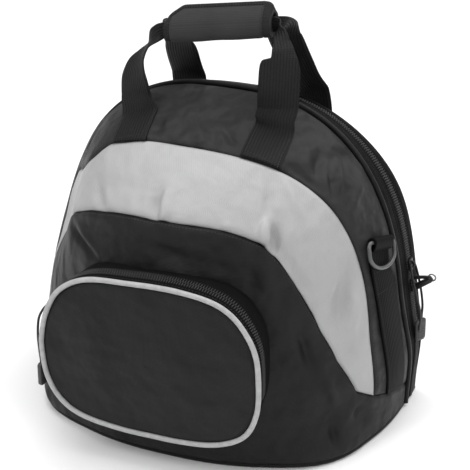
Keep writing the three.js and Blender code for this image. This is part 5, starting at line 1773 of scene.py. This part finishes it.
class BAG_OT_zip_pulls(bpy.types.Operator):
    """Make the zip sliders, their cords and the moulded tabs"""

    bl_idname = "tank_bag.zip_pulls"
    bl_label = "Zip pulls"

    def execute(self, context):
        upper = main_slider(SLIDER_PAIR_Z + SLIDER_SPACING)
        lower = main_slider(SLIDER_PAIR_Z - SLIDER_SPACING)
        pocket = pocket_slider()
        self.make_slider("slider_upper", upper, "main_slider_upper")
        self.make_slider("slider_lower", lower, "main_slider_lower")
        self.make_slider("slider_pocket", pocket, "pocket_slider")
        nodes = ("lower_pull_cord", "lower_pull_tab")
        self.make_hanging_pull("pull_lower", upper, MAIN_PULL, MAIN_TAB_TURN, *nodes)
        nodes = ("pocket_pull_cord", "pocket_pull_tab")
        self.make_hanging_pull("pull_pocket", pocket, POCKET_PULL, 0.0, *nodes)
        self.make_upper_pull(lower)
        return {"FINISHED"}

    def make_slider(self, name, place, node):
        plate = rounded_block(name, SLIDER_PLATE, 1.0, (0, 0, SLIDER_PLATE[2] / 2))
        wings = rounded_block(name + "_wings", SLIDER_WINGS, 0.8, (0, 3.2, 1.2))
        angle = np.linspace(0, math.pi, 17)
        reach = SLIDER_BOW["reach"]
        bow = np.stack([0 * angle, reach * np.cos(angle), SLIDER_BOW["foot"] + reach * np.sin(angle)], -1)
        bridge = wire_bow(name + "_bow", bow, SLIDER_BOW["wire"])
        piece = joined(name, [plate, wings, bridge])
        seat = place["at"] + place["out"] * SLIDER_SEAT
        placed(piece, place["side"], place["along"], place["out"], seat)
        fitted(piece, "slider_metal", [node])

    def make_hanging_pull(self, name, place, rows, turned, cord_node, tab_node):
        """A cord looped through the bore, both strands held in a moulded tab."""
        bore = bore_of(place)

        def point(row, sign):
            side, drop, step = row
            return bore + place["side"] * (sign * side) + place["level"] * step + np.array([0, 0, -drop])

        last = rows[-1]
        turn = []
        radius = CORD_TURN["radius"]
        for angle in np.radians((-20, 15, 50, 90)):
            drop = last[1] + CORD_TURN["inside_tab"] + radius * math.sin(angle)
            turn.append((radius * math.cos(angle), drop, last[2]))
        down = [point(row, 1) for row in [CORD_START, *rows, *turn]]
        back = [point(row, -1) for row in [CORD_START, *rows, *turn[:-1]]][::-1]
        line = smooth_line(np.vstack(down + back), 6)
        cord = wire_curve(name + "_cord", line, CORD_RADIUS, 3)
        fitted(cord, "cord", [cord_node])
        top = bore + place["level"] * last[2] + np.array([0, 0, -last[1] - GAP])
        tab = self.make_tab(name + "_tab")
        wide = place["side"] * math.cos(turned) + place["level"] * math.sin(turned)
        placed(tab, wide, np.array([0.0, 0.0, 1.0]), np.cross(wide, np.array([0.0, 0.0, 1.0])), top)
        fitted(tab, "pull_plastic", [tab_node])

    def make_tab(self, name):
        """A rounded moulded tab with grip ribs, hanging from its top middle."""
        wide, long, thick = TAB["width"], TAB["long"], TAB["thick"]
        body = rounded_block(name, (wide, long, thick * 0.86), 1.6, (0, -long / 2, 0), corner=TAB["corner"])
        parts = [body]
        for step in range(5):
            at = (0.0, -long * 0.36 - step * 2.9, 0.0)
            parts.append(rounded_block(name + "_rib", (wide * 0.7, 1.3, thick), 0.5, at, 2))
        return joined(name, parts)

    def make_upper_pull(self, place):
        """A stiff pull that stands out from the zip, with a cord loop and a ring round its tip, whose
        paleness is painted highlight.
        """
        angle = math.radians(UPPER_PULL["rise"])
        reach = place["out"] * math.cos(angle) + place["along"] * math.sin(angle)
        thick = place["along"] * math.cos(angle) - place["out"] * math.sin(angle)
        root = place["at"] + place["out"] * (SLIDER_SEAT + 5.6 + 0.85 + GAP)
        long = UPPER_PULL["long"]
        body = rounded_block("pull_upper", (7.5, long, UPPER_PULL["thick"]), 1.3, (0, long / 2 - 1.5, -0.8))
        neck = rounded_block("pull_upper_neck", (5.0, 4.0, 2.6), 1.0, (0, 0.6, 0))
        share = np.linspace(0, 1, 25)
        strand = np.stack([0 * share, long * 0.86 * share, 8.5 - 7.0 * share**1.5], -1)
        loop = wire_bow("pull_upper_loop", strand, 1.9)
        piece = joined("pull_upper", [body, neck, loop])
        placed(piece, place["side"], reach, thick, root)
        fitted(piece, "pull_dark", ["upper_pull"])
        # The ring round the tip, pale with painted highlight.
        turn = np.linspace(0, 2 * math.pi, 41)
        wide = UPPER_PULL["ring"]
        hoop = np.stack([0.6 + 0 * turn, long - 0.6 + wide * np.cos(turn), wide * np.sin(turn)], -1)
        ring = wire_bow("pull_upper_ring", hoop, 0.9)
        placed(ring, place["side"], reach, thick, root)
        fitted(ring, "pull_ring")


class BAG_OT_stage(bpy.types.Operator):
    """Set the floor, the soft lights and the camera"""

    bl_idname = "tank_bag.stage"
    bl_label = "Stage"

    def execute(self, context):
        scene = context.scene
        settings = scene.tank_bag_stage
        bpy.ops.object.select_all(action="DESELECT")
        bpy.ops.mesh.primitive_plane_add(size=14.0, location=(0, 0, 0))
        floor = bpy.context.object
        floor.name = "floor"
        finish = Finish("pale_floor")
        finish.surface(0.8, 0.2)
        dark, light = toned(settings.floor, 0.99), toned(settings.floor, 1.01)
        finish.colours(finish.noise(finish.place(), 3.0), dark, light)
        floor.data.materials.append(finish.material)
        self.make_camera(scene, settings)
        self.make_lights(scene)
        return {"FINISHED"}

    def make_camera(self, scene, settings):
        back = Vector(
            (
                math.sin(settings.azimuth) * math.cos(settings.elevation),
                -math.cos(settings.azimuth) * math.cos(settings.elevation),
                math.sin(settings.elevation),
            )
        )
        turn = (-back).to_track_quat("-Z", "Y").to_euler()
        bpy.ops.object.camera_add(location=settings.camera_at, rotation=turn)
        camera = bpy.context.object
        camera.name = "photo_camera"
        camera.data.sensor_width = 36.0
        camera.data.angle = settings.view_angle
        camera.data.clip_start = 0.05
        camera.data.dof.use_dof = False
        scene.camera = camera

    def make_lights(self, scene):
        for name, at, size, power in LIGHTS:
            way = LIT_POINT - Vector(at)
            turn = way.to_track_quat("-Z", "Y").to_euler()
            bpy.ops.object.light_add(type="AREA", location=at, rotation=turn)
            light = bpy.context.object
            light.name = name
            light.data.size = size
            light.data.energy = power
        world = scene.world or bpy.data.worlds.new("studio")
        scene.world = world
        world.use_nodes = True
        sky = world.node_tree.nodes["Background"]
        sky.inputs["Color"].default_value = (1.0, 1.0, 1.0, 1.0)
        sky.inputs["Strength"].default_value = SKY_STRENGTH
        scene.view_settings.view_transform = "Standard"


OPERATORS = (
    BAG_OT_stage,
    BAG_OT_zip_pulls,
    BAG_OT_body,
    BAG_OT_back,
    BAG_OT_gusset,
    BAG_OT_pocket,
    BAG_OT_handles,
    BAG_OT_side_strap,
)


class BAG_PT_sidebar(bpy.types.Panel):
    """Lists the steps that make the bag"""

    bl_idname = "BAG_PT_sidebar"
    bl_label = "Tank bag"
    bl_space_type = "VIEW_3D"
    bl_region_type = "UI"
    bl_category = "Tank bag"

    def draw(self, context):
        scene = context.scene
        for group in (scene.tank_bag_body, scene.tank_bag_trim, scene.tank_bag_stage):
            box = self.layout.box()
            for name in group.bl_rna.properties.keys():
                if name not in ("rna_type", "name"):
                    box.prop(group, name)
        for operator in OPERATORS:
            self.layout.operator(operator.bl_idname)


CLASSES = (BodySettings, TrimSettings, StageSettings, *OPERATORS, BAG_PT_sidebar)


def register():
    for made in CLASSES:
        bpy.utils.register_class(made)
    bpy.types.Scene.tank_bag_body = bpy.props.PointerProperty(type=BodySettings)
    bpy.types.Scene.tank_bag_trim = bpy.props.PointerProperty(type=TrimSettings)
    bpy.types.Scene.tank_bag_stage = bpy.props.PointerProperty(type=StageSettings)


def unregister():
    del bpy.types.Scene.tank_bag_body
    del bpy.types.Scene.tank_bag_trim
    del bpy.types.Scene.tank_bag_stage
    for made in reversed(CLASSES):
        bpy.utils.unregister_class(made)


def main():
    register()
    bpy.ops.tank_bag.stage()
    bpy.ops.tank_bag.zip_pulls()
    bpy.ops.tank_bag.body()
    bpy.ops.tank_bag.back()
    bpy.ops.tank_bag.gusset()
    bpy.ops.tank_bag.pocket()
    bpy.ops.tank_bag.handles()
    bpy.ops.tank_bag.side_strap()


if __name__ == "__main__":
    main()
